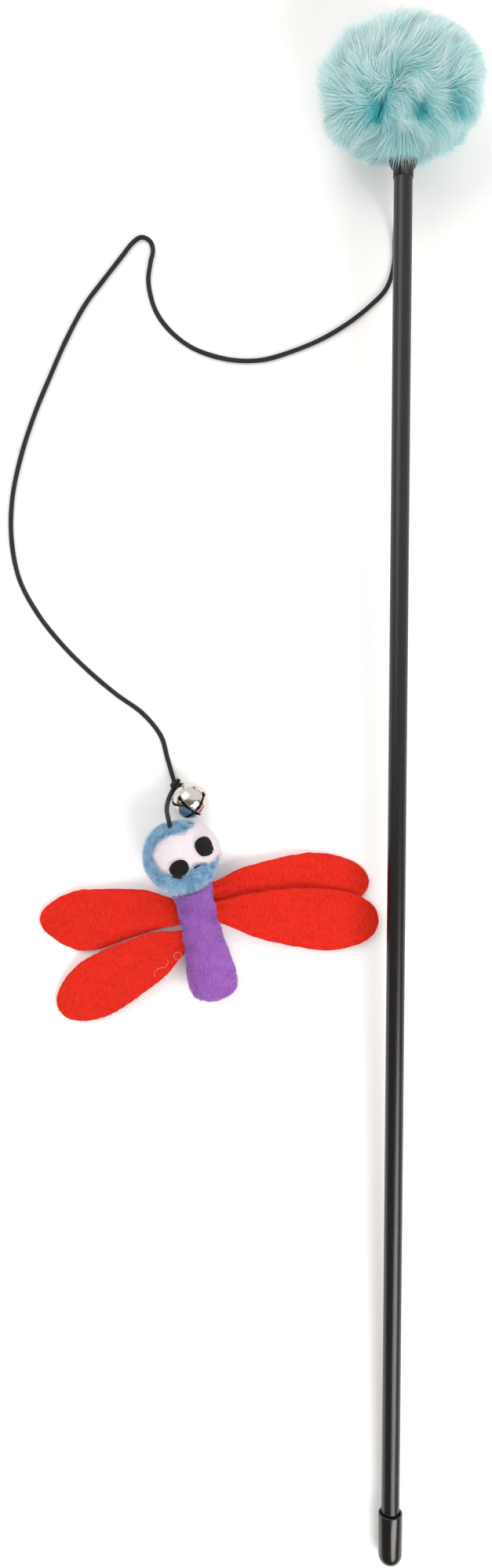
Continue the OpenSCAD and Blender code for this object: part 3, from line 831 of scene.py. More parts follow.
# Stray fibre that has settled on the felt: pale, with the red showing through
STRAY = Pile("pale_stray_fibre", "#eaa39a", 0.7, tip="#f0b4ac", deep="#e2958c", tip_from=0.0, sheen=0.1)
WHITE_FELT = WoolFelt(
    "white_wool_felt", "#e4dae0", 0.95, deep="#dbd0d8", light="#ece4e9", fibre_mm=0.25, bump=0.25
)
WHITE_FUZZ = Pile("white_felt_fuzz", "#ece4ea", 0.8, tip="#ffffff", deep="#e4dce6", tip_from=0.0, sheen=0.1)
BLACK_FELT = WoolFelt(
    "black_wool_felt", "#0f0e0e", 0.95, deep="#0a0a0a", light="#1f1d1d", fibre_mm=0.2, sheen=0.05
)
# Polyester fibre filling inside the soft pieces
FILLING = Backing("white_fibre_filling", "#f0eee8", 0.95, deep="#dcd8d0", loop_mm=2.0)
# Sewing threads
BLACK_THREAD = Braid("black_sewing_thread", "#121213", 0.8, yarns=3, pitch_mm=1.2)
AQUA_THREAD = Backing("aqua_drawstring", "#6fb4b7", 0.8, deep="#4f9296", loop_mm=0.3)
# Nickel-plated bell and the steel ball in it
NICKEL = NickelPlate("bright_nickel_plate", "#d8d2cb", 0.06)
STEEL = NickelPlate("tumbled_steel_ball", "#8a8a8c", 0.32)
PAPER = StudioPaper("white_studio_paper", "#fbfbfb", 0.95)


# Studio


def metres(place: Sequence[float]) -> list[float]:
    """A place in metres."""
    return [c * MM for c in place]


@dataclass
class Studio:
    """White paper floor, soft lamps and a camera that looks straight down, as in the photograph."""

    camera_at: Place = (-2.8, 8.1, 400.0)
    camera_turn_deg: float = 0.27
    mm_per_pixel: float = 0.255
    image_height: int = 2000
    sensor: float = 36.0
    floor_size: float = 3000.0
    dark_half: str = "#8c8279"
    pale_half: str = "#fbf9f7"
    # Each lamp: name, place, width, height and watts
    lamps: tuple[tuple[str, Place, float, float, float], ...] = (
        ("key_softbox", (-450.0, 420.0, 700.0), 620.0, 620.0, 2.2),
        ("strip_softbox", (420.0, -540.0, 625.0), 700.0, 450.0, 6.2),
    )

    def place_camera(self) -> None:
        """Puts the camera over the wand; its lens shows the image's height at the floor."""
        data = bpy.data.cameras.new("photo_camera")
        data.sensor_width = self.sensor
        data.lens = self.sensor * self.camera_at[2] / (self.image_height * self.mm_per_pixel)
        data.clip_start, data.clip_end = 0.01, 20.0
        camera = linked("photo_camera", data)
        camera.location = metres(self.camera_at)
        camera.rotation_euler = (0.0, 0.0, math.radians(self.camera_turn_deg))
        bpy.context.scene.camera = camera
        bpy.context.scene.view_settings.view_transform = "Standard"

    def lay_floor(self) -> None:
        """A square of paper under everything."""
        half = self.floor_size / 2 * MM
        mesh = bpy.data.meshes.new("paper_floor")
        mesh.from_pydata([(-half, -half, 0), (half, -half, 0), (half, half, 0), (-half, half, 0)], [], [(0, 1, 2, 3)])
        mesh.materials.append(PAPER.material())
        linked("paper_floor", mesh)

    def hang_lamps(self) -> None:
        """Softboxes aimed at the middle of the floor."""
        for name, at, width, height, watts in self.lamps:
            data = bpy.data.lights.new(name, "AREA")
            data.shape = "RECTANGLE"
            data.size, data.size_y, data.energy = width * MM, height * MM, watts
            lamp = linked(name, data)
            lamp.location = metres(at)
            lamp.rotation_mode = "QUATERNION"
            lamp.rotation_quaternion = (-lamp.location).to_track_quat("-Z", "Y")
            lamp.visible_camera = False

    def paint_world(self) -> None:
        """Plain surroundings: a pale half towards the wand's top and a dark half towards its foot, so that gloss has
        something to show, and white to the camera."""
        world = bpy.data.worlds.new("studio_world")
        bpy.context.scene.world = world
        world.use_nodes = True
        brush = Brush(world.node_tree, world.node_tree.nodes["Background"])
        forth = brush.add("SeparateXYZ", {0: brush.add("TexCoord", output="Generated")}, 1)
        ahead = brush.ramp(forth, -0.12, 0.06, interpolation_type="SMOOTHSTEP")
        seen = brush.add("LightPath", output="Is Camera Ray")
        halves = brush.blend(ahead, self.dark_half, self.pale_half)
        brush.put({"Color": brush.blend(seen, halves, "#ffffff")})


# Cord and knots

LURE_AT = (-23.4, -15.2, 0.0)
LURE_LEAN = 13.0


def from_lure(p: Array) -> Array:
    """Points given in the lure's own axes, put in their place."""
    return turned(np.asarray(p, float), LURE_LEAN) + np.array(LURE_AT)


def braided(line: Array, diameter: float, ring_every: float, reference: Sequence[float]) -> Shape:
    """A braided tube: its radius rises and falls by the product of two waves that climb it in opposite spirals.

    Args:
        line: the middle line.
        diameter: of the cord.
        ring_every: distance between rings.
        reference: a direction that the line never takes.

    Returns:
        The shape.
    """
    sides, relief = 16, 0.045
    line = evenly(line, max(int(along(line)[-1] / ring_every), 4) + 1)
    run, turn = along(line)[:, None], np.arange(sides)[None] / sides
    crossed = [np.abs(np.sin(math.pi * ELASTIC.yarns * (turn + way * run / ELASTIC.pitch_mm))) for way in (1, -1)]
    radius = diameter / 2 * (1 - relief + 2 * relief * crossed[0] * crossed[1])
    return tube(line, radius, sides, reference)


@dataclass
class Cord:
    """The elastic cord: out of the plug's side, down to the floor and along it in one long loop to the bell's knot."""

    diameter: float = 1.5
    length: float = 360.0
    exit: Place = (44.7, 196.57, 18.27)
    knot_at: Place = (-25.5962, 7.46338, 1.68)
    knot_diameter: float = 3.2
    end_way: Place = (-1.6, 4.0, -0.5)
    end_gap: float = -0.8
    ring_every: float = 0.33
    path_points: int = 240
    route: tuple[Place, ...] = (
        (44.7, 195.6, 14), (44.7, 194, 8.6), (44.6, 190.6, 4), (44.6, 184.6, 1.2), (44.4, 177, 0.8),
        (42, 169.2, 0.8), (36.4, 163.2, 0.8), (29, 157.4, 0.8), (20.6, 152.4, 0.8), (11, 148.4, 0.8),
        (2, 145.8, 0.8), (-7, 145.6, 0.8), (-15.5, 147.4, 0.8), (-22.6, 150.6, 0.8), (-29, 156, 0.8),
        (-33.2, 162.4, 0.8), (-35.2, 170.6, 0.8), (-34.6, 177, 0.8), (-33.8, 181.2, 0.8),
        (-34.8, 184.2, 0.8), (-37.6, 185.4, 0.8), (-40.6, 183.4, 0.8), (-44, 179, 0.8),
        (-50, 171.2, 0.8), (-56, 163, 0.8), (-61.8, 152, 0.8), (-67, 140, 0.8), (-72, 127.6, 0.8),
        (-76.2, 114.4, 0.8), (-79, 100.6, 0.8), (-79.2, 87, 0.8), (-76.6, 74.2, 0.8),
        (-70.6, 63, 0.8), (-62.6, 53, 0.8), (-54, 44.5, 0.8), (-45, 37, 0.8), (-36.6, 31, 0.8),
        (-30.6, 23.8, 0.8), (-28.4, 16.6, 0.8), (-27, 11.8, 1.1),
    )  # fmt: skip

    def line(self) -> Array:
        """The middle line, smooth through the route's points."""
        end = np.array(self.knot_at) + unit(np.array(self.end_way)) * (self.knot_diameter / 2 + self.end_gap)
        return curve_through(np.array([self.exit, *self.route, end]), 8)

    def make(self) -> None:
        """Builds the cord and logs its length."""
        line = self.line()
        shape = braided(line, self.diameter, self.ring_every, (0.0, -1.0, 1.0))
        made = build(shape, "elastic_cord", ELASTIC, "wand", ["cord"])
        LOG.info("elastic_cord: %.1f mm long", along(line)[-1])


@dataclass
class Knots:
    """The knot that carries the bell, with its loop through the bell's eye, and the short cord into the head."""

    cord: Cord
    turn_deg: float = 20.0
    flat: float = 0.37
    rise: float = 0.72
    yarn: float = 0.66
    stub: Place = (1.1, 2.0, 0.9)
    loop_ring: float = 1.15
    loop_radius: float = 0.42
    loop_off: float = 2.2
    loop_way: Place = (0.96, -0.18, 0.2)
    eye_normal: Place = (0.0, 0.73, 0.68)
    lure_route: tuple[Place, ...] = (
        (-26.1, 6.6, 1.7), (-26.8, 5.3, 2.0), (-27.5, 3.6, 3.6), (-27.9, 1.5, 7.0), (-27.8, -0.4, 10.8),
        (-27.1, -2.7, 14.8), (-26.5, -4.6, 16.6), (-26.2, -6.2, 15.2),
    )  # fmt: skip

    def bell_knot(self) -> None:
        """An overhand knot pulled tight: a trefoil, which goes twice round while it weaves up and down three times."""
        t = 2 * math.pi * np.arange(0, 1.0001, 1 / 120)
        flat = [np.sin(t) + 2 * np.sin(2 * t), np.cos(t) - 2 * np.cos(2 * t)]
        turns = np.stack([flat[0] * self.flat, flat[1] * self.flat, -np.sin(3 * t) * self.rise], -1)
        at = np.array(self.cord.knot_at)
        stub = at + np.linspace(0, 1, 9)[:, None] * np.array(self.stub)
        way = unit(np.array(self.loop_way))
        up = square_to(np.array(self.eye_normal), way)
        ring = at + way * self.loop_off + self.loop_ring * fan(way, up, t)
        parts = [
            tube(at + turned(turns, self.turn_deg), self.yarn, 12, (0.1, 0.2, 1.0)),
            tube(stub, self.yarn * 1.05, 12, (0.0, 0.0, 1.0)),
            tube(ring, self.loop_radius, 10, np.cross(way, up)),
        ]
        build(joined(parts), "bell_knot_turns", ELASTIC, "lure_head", ["bell_knot"])

    def lure_cord(self) -> None:
        """The short cord, from the knot up over the plush into the head."""
        line = curve_through(np.array(self.lure_route), 8)
        shape = braided(line, self.cord.diameter, 0.3, (1.0, 0.2, 0.0))
        build(shape, "short_lure_cord", ELASTIC, "lure_head", ["lure_cord"])


# Pom-pom


@dataclass
class PomPom:
    """A ball of long fur, gathered at a pucker that faces up and forward, with creases that run out from it."""

    middle: Place = (44.0, 221.1, 22.4)
    size: Place = (52.0, 42.0, 46.0)
    fur_depth: float = 5.4
    pucker_right: float = -21.0
    pucker_forth: float = -25.0
    pucker_depth: float = 1.5
    pucker_spread_deg: float = 18.0
    # Each crease: from and to as degrees from the pucker and degrees round it, then width and depth
    creases: tuple[tuple[float, float, float, float, float, float], ...] = (
        (12, -142, 33, -116, 1.5, 4.0),
        (23, 2, 39, -32, 2.0, 4.6),
        (10, 52, 30, 46, 1.4, 1.6),
        (5, -140, 22, -178, 1.3, 1.4),
        (56, -5, 80, -9, 2.2, 2.2),
        (50, 12, 55, 12, 1.4, 1.6),
    )
    # Where the ball bulges or is trimmed: direction, height and spread in degrees
    bulges: tuple[tuple[Place, float, float], ...] = (
        ((0.72, 0.66, 0.2), 2.4, 26.0),
        ((-0.66, 0.72, 0.2), -1.2, 24.0),
        ((-1.0, -0.05, 0.1), 1.3, 34.0),
        ((0.74, -0.66, 0.1), 0.9, 28.0),
        ((-0.7, -0.7, 0.1), 0.9, 24.0),
    )
    wave_radius: float = 20.0
    lump: float = 0.45
    # Share of a crease's depth that the cloth follows, and the depth at which the painted shade on its fibres is
    # darkest
    crease_share: float = 0.8
    crease_shade_depth: float = 3.2
    fibre_length: float = 8.6
    fibre_radius: float = 0.08
    fibres: int = 12400
    locks: int = 480
    lock_pull: Pair = (0.25, 0.65)
    # Lean from the skin's normal at the pucker and away from it, and its random part, in degrees
    lean_deg: Pair = (70.0, 56.0)
    lean_spread_deg: float = 7.0
    lean_wave_deg: float = 8.0
    # Least and greatest length and radius as shares, the share of the length that is left at the pucker, and how
    # much the tufts vary it
    length_shares: Pair = (0.75, 1.12)
    radius_shares: Pair = (0.7, 1.15)
    pucker_share: float = 0.7
    tufts: float = 0.09
    # How far the tips stray, and how far and by how many radians the fibres are waved
    stray: float = 0.5
    kink: float = 0.3
    kink_turn: float = 4.5
    # Tone: its middle, its random part, its clouds, the painted shade that a crease takes and the painted light that
    # the side away from the rod gets
    tone: float = 0.76
    tone_spread: float = 0.13
    clouds: float = 0.08
    crease_painted_shade: float = 0.95
    far_side_painted_light: float = 0.24
    wisp: Nap = Nap(900, (5.5, 10.0), (0.05, 0.09), 0.5, 0.15, (1.0, 0.95, 0.8, 0.5))
    # Share of the wisps that are longest, and their length
    long_wisps: Pair = (0.04, 12.5)
    string_ring: float = 2.4
    string_radius: float = 0.3
    string_waves: int = 9
    string_wave: float = 0.06
    # Bare mouth that the plug goes into: its direction and half angle in degrees
    mouth_way: Place = (0.0, -1.0, -0.05)
    mouth_deg: float = 11.0
    # How the flow turns from straight out of the pucker: its mean, its waves and its random part, in degrees
    swirl_deg: Place = (-14.0, 36.0, 10.0)
    # Each layer of fibres: name, seed, share of the full length and what is added to the tone
    layers: tuple[tuple[str, int, float, float], ...] = (
        ("under", 101, 0.72, -0.16),
        ("middle", 102, 0.88, 0.0),
        ("outer", 103, 0.98, 0.08),
        ("tips", 104, 1.04, 0.14),
    )

    def field(self, ways: Array, size: float, seed: int) -> Array:
        """A smooth random field over the ball, its waves about size long."""
        return waves(ways * self.wave_radius, size, seed)

    def pucker(self) -> tuple[Array, Array, Array]:
        """The pucker's direction and two directions square to it."""
        return ball_frame(ball_way(self.pucker_right, self.pucker_forth), np.array([1.0, 0.0, 0.0]))

    def polar(self, angle: float, turn: float) -> Array:
        """The direction at an angle from the pucker and a turn round it.

        Args:
            angle: degrees from the pucker.
            turn: degrees round it.

        Returns:
            A unit vector.
        """
        pole, side, other = self.pucker()
        angle, turn = math.radians(angle), math.radians(turn)
        return pole * math.cos(angle) + (side * math.cos(turn) + other * math.sin(turn)) * math.sin(angle)

    def sunk(self, ways: Array) -> Array:
        """Depth of the creases: each falls off as a bell curve of the distance from its line.

        Args:
            ways: directions from the ball's middle.

        Returns:
            One depth for each direction.
        """
        depth = np.zeros(ways.shape[:-1])
        scale = self.size[1] / 2
        for angle_a, turn_a, angle_b, turn_b, width, deep in self.creases:
            a, b = self.polar(angle_a, turn_a), self.polar(angle_b, turn_b)
            share = np.clip(((ways - a) @ (b - a)) / ((b - a) @ (b - a)), 0, 1)
            off = np.linalg.norm(ways - (a + share[..., None] * (b - a)), axis=-1) * scale
            depth = depth + deep * bell_curve(off, width)
        return depth

    def reach(self, ways: Array, inset: float) -> Array:
        """Distance from the middle to a skin: the ellipsoid, less the inset, the pucker and most of the creases'
        depth, with lumps and bulges.

        Args:
            ways: directions from the ball's middle.
            inset: of the skin from the outer size.

        Returns:
            One distance for each direction.
        """
        dip = self.pucker_depth * bell_curve(degrees_from(self.pucker()[0], ways), self.pucker_spread_deg)
        lumps = self.lump * self.field(ways, 16, 5)
        for way, height, spread in self.bulges:
            lumps = lumps + height * bell_curve(degrees_from(unit(np.array(way)), ways), spread)
        return ellipsoid_reach(ways, self.size) - inset - dip - self.crease_share * self.sunk(ways) + lumps

    def skin_at(self, ways: Array, inset: float) -> Array:
        """Places so far under the ball's outer size."""
        return np.array(self.middle) + ways * self.reach(ways, inset)[..., None]

    def body(self, inset: float, rows: int, columns: int) -> Shape:
        """The ball's skin at a depth, as rings round the rod's side."""
        ways = ball_grid(np.array([0.0, -1.0, 0.0]), np.array([0.0, 0.0, 1.0]), rows, columns)
        return skin(above(self.skin_at(ways, inset), max(inset - self.fur_depth, 0) + 0.4))

    def fibre_lines(self, ways: Array, length: Array, lean: Array, seed: int) -> Array:
        """Lines of fibres: each rises from its root, then leans outward from the pucker, and its tip is drawn to
        the tip of the lock that it belongs to.

        Args:
            ways: directions of the roots.
            length: of each fibre.
            lean: degrees from the skin's normal, for each fibre.
            seed: picks the locks and the small turns.

        Returns:
            Fibres by stations by three.
        """
        rng = np.random.default_rng(seed)
        count, pole = len(ways), self.pucker()[0]
        normal = unit(ways / (np.array(self.size) / 2) ** 2)
        outward = square_to(ways * (ways @ pole)[:, None] - pole, normal)
        mean, wavy, spread = self.swirl_deg
        swirl = np.radians(mean + wavy * self.field(ways, 12, 11) + rng.normal(size=count) * spread)
        flow = fan(outward, np.cross(normal, outward), swirl)
        up, out = np.cos(np.radians(lean)) * length, np.sin(np.radians(lean)) * length
        t = root_to_tip(4)
        lines = self.skin_at(ways, self.fur_depth)[:, None]
        lines = lines + normal[:, None] * up[:, None, None] * t * (1.5 - 0.5 * t)
        lines = lines + flow[:, None] * out[:, None, None] * t * (0.5 + 0.5 * t)
        lines = strayed(rng, lines, self.stray)
        bend = np.sin(rng.uniform(0, 2 * math.pi, (count, 1, 1)) + self.kink_turn * t) * t * self.kink
        lines = lines + np.cross(normal, flow)[:, None] * bend
        locks = even_ways(self.locks, seed + 1)
        nearest = np.concatenate([np.argmax(part @ locks.T, 1) for part in np.array_split(ways, 24)])
        order = np.argsort(nearest, kind="stable")
        sums = np.zeros((len(locks), 3))
        np.add.at(sums, nearest[order], lines[order, -1])
        tips = sums / np.maximum(np.bincount(nearest, minlength=len(locks)), 1)[:, None]
        loose = rise(self.field(ways, 20, 13) - ways[:, 1], -0.5, 1.6)
        tight = rng.uniform(*self.lock_pull, count) * (0.6 + 0.7 * loose)
        pull = (tips[nearest] - lines[:, -1])[:, None] * tight[:, None, None]
        return above(lines + pull * t**2, 0.15)

    def fur(self, layer: str, seed: int, length_share: float, tone_shift: float) -> None:
        """One layer of fibres over the whole ball.

        Args:
            layer: the layer's name.
            seed: picks its fibres.
            length_share: of the full fibre length.
            tone_shift: added to the fibres' tone.
        """
        rng = np.random.default_rng(seed)
        ways = even_ways(self.fibres, seed)
        ways = ways[ways @ unit(np.array(self.mouth_way)) < math.cos(math.radians(self.mouth_deg))]
        count = len(ways)
        away = degrees_from(self.pucker()[0], ways)
        length = self.fibre_length * length_share * rng.uniform(*self.length_shares, count)
        length = length * mix(self.pucker_share, 1.0, rise(away, 0, 30)) * (1 + self.tufts * self.field(ways, 6, 23))
        lean = mix(*self.lean_deg, rise(away, 10, 75)) + rng.normal(size=count) * self.lean_spread_deg
        lean = lean + self.lean_wave_deg * self.field(ways, 7, 19) * rise(-away, -100, -60)
        lines = self.fibre_lines(ways, length, lean, seed)
        # Painted shade: fibres in the creases are darkened by the creases' depth
        deep = np.clip(self.sunk(ways) / self.crease_shade_depth, 0, 1)
        tone = self.tone + tone_shift + self.tone_spread * rng.normal(size=count)
        tone = tone + self.clouds * self.field(ways, 9, 21) - self.crease_painted_shade * deep
        # Painted light: the side away from the rod is lightened and the side towards it darkened
        tone = np.clip(tone + self.far_side_painted_light * ways[:, 1], 0, 1)
        radius = self.fibre_radius * rng.uniform(*self.radius_shares, count)
        build(hairs(lines, radius, (1.0, 0.85, 0.5), tone, seed), f"pompom_fur_{layer}", FUR, "wand")

    def drawstring(self) -> None:
        """The thread that gathers the skin, under the fur: a wavy ring round the pucker."""
        turn = 2 * math.pi * np.arange(0, 1.001, 1 / 72)
        angle = np.degrees(self.string_ring / (self.size[1] / 2 - self.fur_depth))
        angle = angle * (1 + self.string_wave * np.cos(self.string_waves * turn))
        pole, side, other = self.pucker()
        ways = unit(fan(pole, fan(side, other, turn), np.radians(angle)))
        line = np.array(self.middle) + ways * (self.reach(ways, self.fur_depth) - 0.1)[:, None]
        shape = tube(line, self.string_radius, 8, pole)
        build(shape, "pompom_drawstring", AQUA_THREAD, "wand", ["pompom_thread"])

    def wisps(self) -> None:
        """A tuft that falls forward from the mouth over the plug's dish."""
        rng = np.random.default_rng(71)
        count = self.wisp.count
        turn = rng.normal(size=count) * 34
        ways = ball_way(turn * 0.35 - 6, -70 + rng.normal(size=count) * 5)
        t = root_to_tip(5)
        ahead = np.stack([turn * 0.012 + 0.03, -1.0 + 0 * turn, -0.12 + 0 * turn], -1)
        share, longest = self.long_wisps
        length = np.where(rng.uniform(size=count) < share, longest, rng.uniform(*self.wisp.length, count))
        roots = self.skin_at(ways, self.fur_depth)
        lines = roots[:, None] + unit(ahead)[:, None] * length[:, None, None] * t + np.array([0, 0, 1.6]) * t * (1 - t)
        shape = self.wisp.grown(strayed(rng, lines, self.stray), rng, 72)
        build(shape, "pompom_wisps", FUR, "wand")

    def make(self) -> None:
        """Builds the ball: filling, backing cloth, drawstring, the layers of fibre and the wisps."""
        filling = self.body(self.fur_depth + 1.4, 30, 48)
        build(filling, "pompom_filling", FILLING, "wand", ["pompom_stuffing"])
        backing = self.body(self.fur_depth, 90, 140)
        build(backing, "pompom_skin", FUR_BACK, "wand", ["pompom_cover"])
        self.drawstring()
        for layer in self.layers:
            self.fur(*layer)
        self.wisps()


# Head and face


@dataclass
class Head:
    """The stuffed head: a ball of blue plush with short curly pile. Places are in the lure's own axes."""

    middle: Place = (0.0, 0.2, 11.1)
    size: Place = (23.8, 23.6, 23.2)
    pile: float = 1.2
    # The lengths are shares of the pile's depth
    fibres: Nap = Nap(14200, (0.85, 1.4), (0.045, 0.08), 0.58, 0.15)
    clouds: float = 0.18
    lump: float = 0.18
    curl_radius: float = 0.42
    curl_turn: float = 4.0
    # How far the tips lie over, how far they are combed down where they face the body, and where that starts and ends
    lie: float = 0.8
    comb: Place = (0.0, -1.3, -0.2)
    comb_from: Pair = (0.62, 0.93)
    wave_radius: float = 12.0

    def field(self, ways: Array, size: float, seed: int) -> Array:
        """A smooth random field over the head, its waves about size long."""
        return waves(ways * self.wave_radius, size, seed)

    def surface(self, ways: Array, lift: float) -> Array:
        """Places at a height over the head's outer size, with soft lumps of the filling, pressed flat on the floor."""
        reach = ellipsoid_reach(ways, self.size) + lift + self.lump * self.field(ways, 9, 31)
        return above(np.array(self.middle) + ways * reach[..., None], 0.25)

    def ball(self, lift: float, rows: int, columns: int) -> Shape:
        """The head's skin at a height."""
        ways = ball_grid(np.array([0.0, 1.0, 0.0]), np.array([0.0, 0.0, 1.0]), rows, columns)
        return skin(self.surface(ways, lift)).in_lure()

    def pile_shape(self, face: "Face") -> Shape:
        """Short curls: each fibre leaves the cloth and winds a little, by a sine and a cosine of its length. None
        stands under the white patch.

        Args:
            face: whose patch it is.

        Returns:
            The fibres, in their place.
        """
        rng = np.random.default_rng(41)
        ways = even_ways(self.fibres.count, 41)
        ways = ways[~face.covers(ways, -2.0)]
        count = len(ways)
        normal = unit(ways / (np.array(self.size) / 2) ** 2)
        side = square_to(rng.normal(size=(count, 3)), normal)
        other = np.cross(normal, side)
        t = root_to_tip(4)
        phase = rng.uniform(0, 2 * math.pi, (count, 1, 1))
        height = self.pile * self.fibres.lengths(rng, count)
        curl = self.curl_radius * (np.sin(phase + self.curl_turn * t) - np.sin(phase))
        bend = self.curl_radius * (np.cos(phase + self.curl_turn * t) - np.cos(phase))
        lines = self.surface(ways, -self.pile)[:, None] + normal[:, None] * height * t
        lines = lines + (side[:, None] * curl + other[:, None] * bend) + side[:, None] * self.lie * t**2
        chin = rise(-ways[:, 1], *self.comb_from)[:, None, None]
        lines = above(lines + np.array(self.comb) * chin * t**2, 0.1)
        return self.fibres.grown(from_lure(lines), rng, 44, self.clouds * self.field(ways, 3, 43))

    def make(self, face: "Face") -> None:
        """Builds the filling, the cloth and the pile.

        Args:
            face: keeps the pile off its patch.
        """
        filling = self.ball(-self.pile - 0.6, 24, 36)
        build(filling, "head_filling", FILLING, "lure_head", ["head_stuffing"])
        backing = self.ball(-self.pile, 60, 90)
        build(backing, "head_plush", PLUSH_BACK, "lure_head", ["head_cover"])
        build(self.pile_shape(face), "head_pile", PLUSH, "lure_head")


@dataclass
class Face:
    """Eyes and smile: a white felt patch with two lobes, two black felt pupils and a stitched line."""

    head: Head
    felt: float = 0.9
    fibres: Nap = Nap(3000, (0.4, 1.1), (0.014, 0.024), 0.5, 0.2, (1.0, 0.9, 0.7))
    # Share of the fibres that stand at the patch's edge, and where that is on the way from its middle
    edge_fibres: float = 0.8
    edge_shares: Pair = (0.95, 1.01)
    grain: float = 0.05
    cut_waviness: float = 0.008
    # The patch's middle and outline, as degrees to the right and towards the cord
    patch_middle: Pair = (34.0, 10.0)
    outline: tuple[Pair, ...] = (
        (20, 35), (32, 40), (50, 45), (70, 51), (90, 48), (102, 34), (106, 14), (100, -4), (88, -11),
        (73, -8), (59, -12), (48, -15), (38, -13), (24, -11), (18, -14), (11, -19), (2, -22), (-8, -21),
        (-16, -18), (-22, -14), (-28, -9), (-32, -2), (-36, 6), (-37, 13), (-34, 20), (-30, 25), (-25, 30),
        (-16, 34), (-5, 36), (6, 35), (14.5, 33),
    )  # fmt: skip
    smile_points: tuple[Pair, ...] = (
        (-16, -24), (-9, -28), (-2, -30), (8, -27), (16, -21), (23, -18), (31, -16),
    )  # fmt: skip
    # Each pupil: its CAD node, degrees to the right and towards the cord, width, height, turn and power
    pupils: tuple[tuple[str, float, float, float, float, float, float], ...] = (
        ("pupil_left", -1.4, -13.0, 6.0, 5.1, 14.0, 2.2),
        ("pupil_right", 42.5, 8.5, 6.7, 6.0, 0.0, 2.35),
    )

    def covers(self, ways: Array, margin: float) -> Array:
        """Whether directions lie in the patch: nearer its middle than its edge is, the same way round.

        Args:
            ways: the directions.
            margin: degrees that the patch is grown by.

        Returns:
            One truth value for each direction.
        """
        edge = self.edge(9)
        pole, side, other = ball_frame(ball_way(*self.patch_middle), np.array([1.0, 0.0, 0.0]))
        angles = [degrees_from(pole, way) for way in (edge, ways)]
        turns = [np.arctan2(way @ other, way @ side) for way in (edge, ways)]
        order = np.argsort(turns[0])
        limit = np.interp(turns[1], turns[0][order], angles[0][order], period=2 * math.pi)
        return angles[1] < limit + margin

    def edge(self, steps: int) -> Array:
        """Directions round the patch's edge, so many for each span of its outline."""
        angles = curve_through(np.array(self.outline, float), steps, closed=True)
        return ball_way(angles[:, 0], angles[:, 1])

    def disc(self, edge: Array, middle: Array, base: float, top: float, rows: int) -> Shape:
        """A felt disc bent over the head: rows from its middle to its edge, closer there, then back below.

        Args:
            edge: directions round its edge.
            middle: direction of its middle.
            base: height of its underside over the head.
            top: height of its upper side.
            rows: rows on each side.

        Returns:
            The shape, in its place.
        """
        share = 1 - (1 - np.arange(1, rows + 1) / rows) ** 2
        ways = unit(mix(middle, edge[None], share[:, None, None]))
        rounded = np.sqrt(np.clip(1 - share**14, 0, 1))[:, None]
        half = (top - base) / 2
        grain = self.grain * self.head.field(ways, 1.1, 51)
        floor = self.head.surface(ways, 0)
        upper = floor + ways * (base + half * (1 + rounded) + grain)[..., None]
        lower = floor + ways * (base + half * (1 - rounded))[..., None]
        return skin(np.vstack([upper, lower[::-1]])).in_lure()

    def patch(self) -> None:
        """The white patch, with a slightly wavy cut edge."""
        ways, middle = self.edge(9), ball_way(*self.patch_middle)
        ways = unit(ways + self.cut_waviness * self.head.field(ways, 1.6, 52)[:, None] * square_to(ways, middle))
        shape = self.disc(ways, middle, 0.1, self.felt, 26)
        made = build(shape, "eye_patch_felt", WHITE_FELT, "lure_head", ["eye_patch"])

    def patch_fuzz(self) -> None:
        """Loose fibres on the patch, thickest at its edge."""
        rng = np.random.default_rng(53)
        edge, middle = self.edge(60), ball_way(*self.patch_middle)
        count = self.fibres.count
        pick = edge[rng.integers(0, len(edge), count)]
        at_edge = rng.uniform(size=count) < self.edge_fibres
        share = np.where(at_edge, rng.uniform(*self.edge_shares, count), np.sqrt(rng.uniform(size=count)))[:, None]
        ways = unit(mix(middle, pick, share))
        side = square_to(rng.normal(size=(count, 3)) + 0.6 * (share**6) * square_to(ways, middle), ways)
        t = root_to_tip(4)
        length = self.fibres.lengths(rng, count)
        root = self.head.surface(ways, self.felt - 0.1)
        lines = root[:, None] + side[:, None] * length * t + ways[:, None] * 0.5 * t * (1.2 - t)
        shape = self.fibres.grown(from_lure(strayed(rng, lines, 0.12)), rng, 54)
        build(shape, "eye_patch_fuzz", WHITE_FUZZ, "lure_head")

    def pupil(
        self, node: str, right: float, forth: float, wide: float, high: float, tilt: float, power: float
    ) -> None:
        """A black felt disc, cut as a superellipse.

        Args:
            node: the CAD node that it stands for.
            right: degrees to the right of up.
            forth: degrees towards the cord.
            wide: its width.
            high: its height.
            tilt: degrees that it is turned.
            power: 2 for an ellipse, more for a rounded square.
        """
        middle = ball_way(right, forth)
        side = square_to(ball_way(right + 90.0, 0.0), middle)
        turn = np.radians(np.arange(0, 360, 4.0))
        reach = (np.abs(np.cos(turn) * 2 / wide) ** power + np.abs(np.sin(turn) * 2 / high) ** power) ** (-1 / power)
        cut = waves(np.stack([np.cos(turn), np.sin(turn), 0 * turn], -1) * 3, 1.6, 56)
        reach = reach * (1 + self.cut_waviness * cut)
        angle = reach / (self.head.size[0] / 2 + self.felt)
        edge = fan(middle, fan(side, np.cross(middle, side), turn + math.radians(tilt)), angle)
        shape = self.disc(edge, middle, self.felt + 0.02, 2 * self.felt - 0.1, 12)
        build(shape, f"{node}_felt", BLACK_FELT, "lure_head", [node])

    def smile(self) -> None:
        """The stitched smile: a thread that dips in and out of the pile, stitch by stitch."""
        path = evenly(curve_through(np.array(self.smile_points, float), 12), 90)
        ways = ball_way(path[:, 0], path[:, 1])
        share = np.linspace(0, 1, len(ways))
        lift = 0.45 - 1.5 * rise(share, 0.26, 0.34) * rise(-share, -0.84, -0.74)
        line = from_lure(self.head.surface(ways, 0) + ways * lift[:, None])
        shape = tube(line, mix(0.3, 0.26, rise(share, 0.2, 0.6))[:, None], 8, (0.0, 0.3, 1.0))
        build(shape, "smile_stitches", BLACK_THREAD, "lure_head", ["smile"])

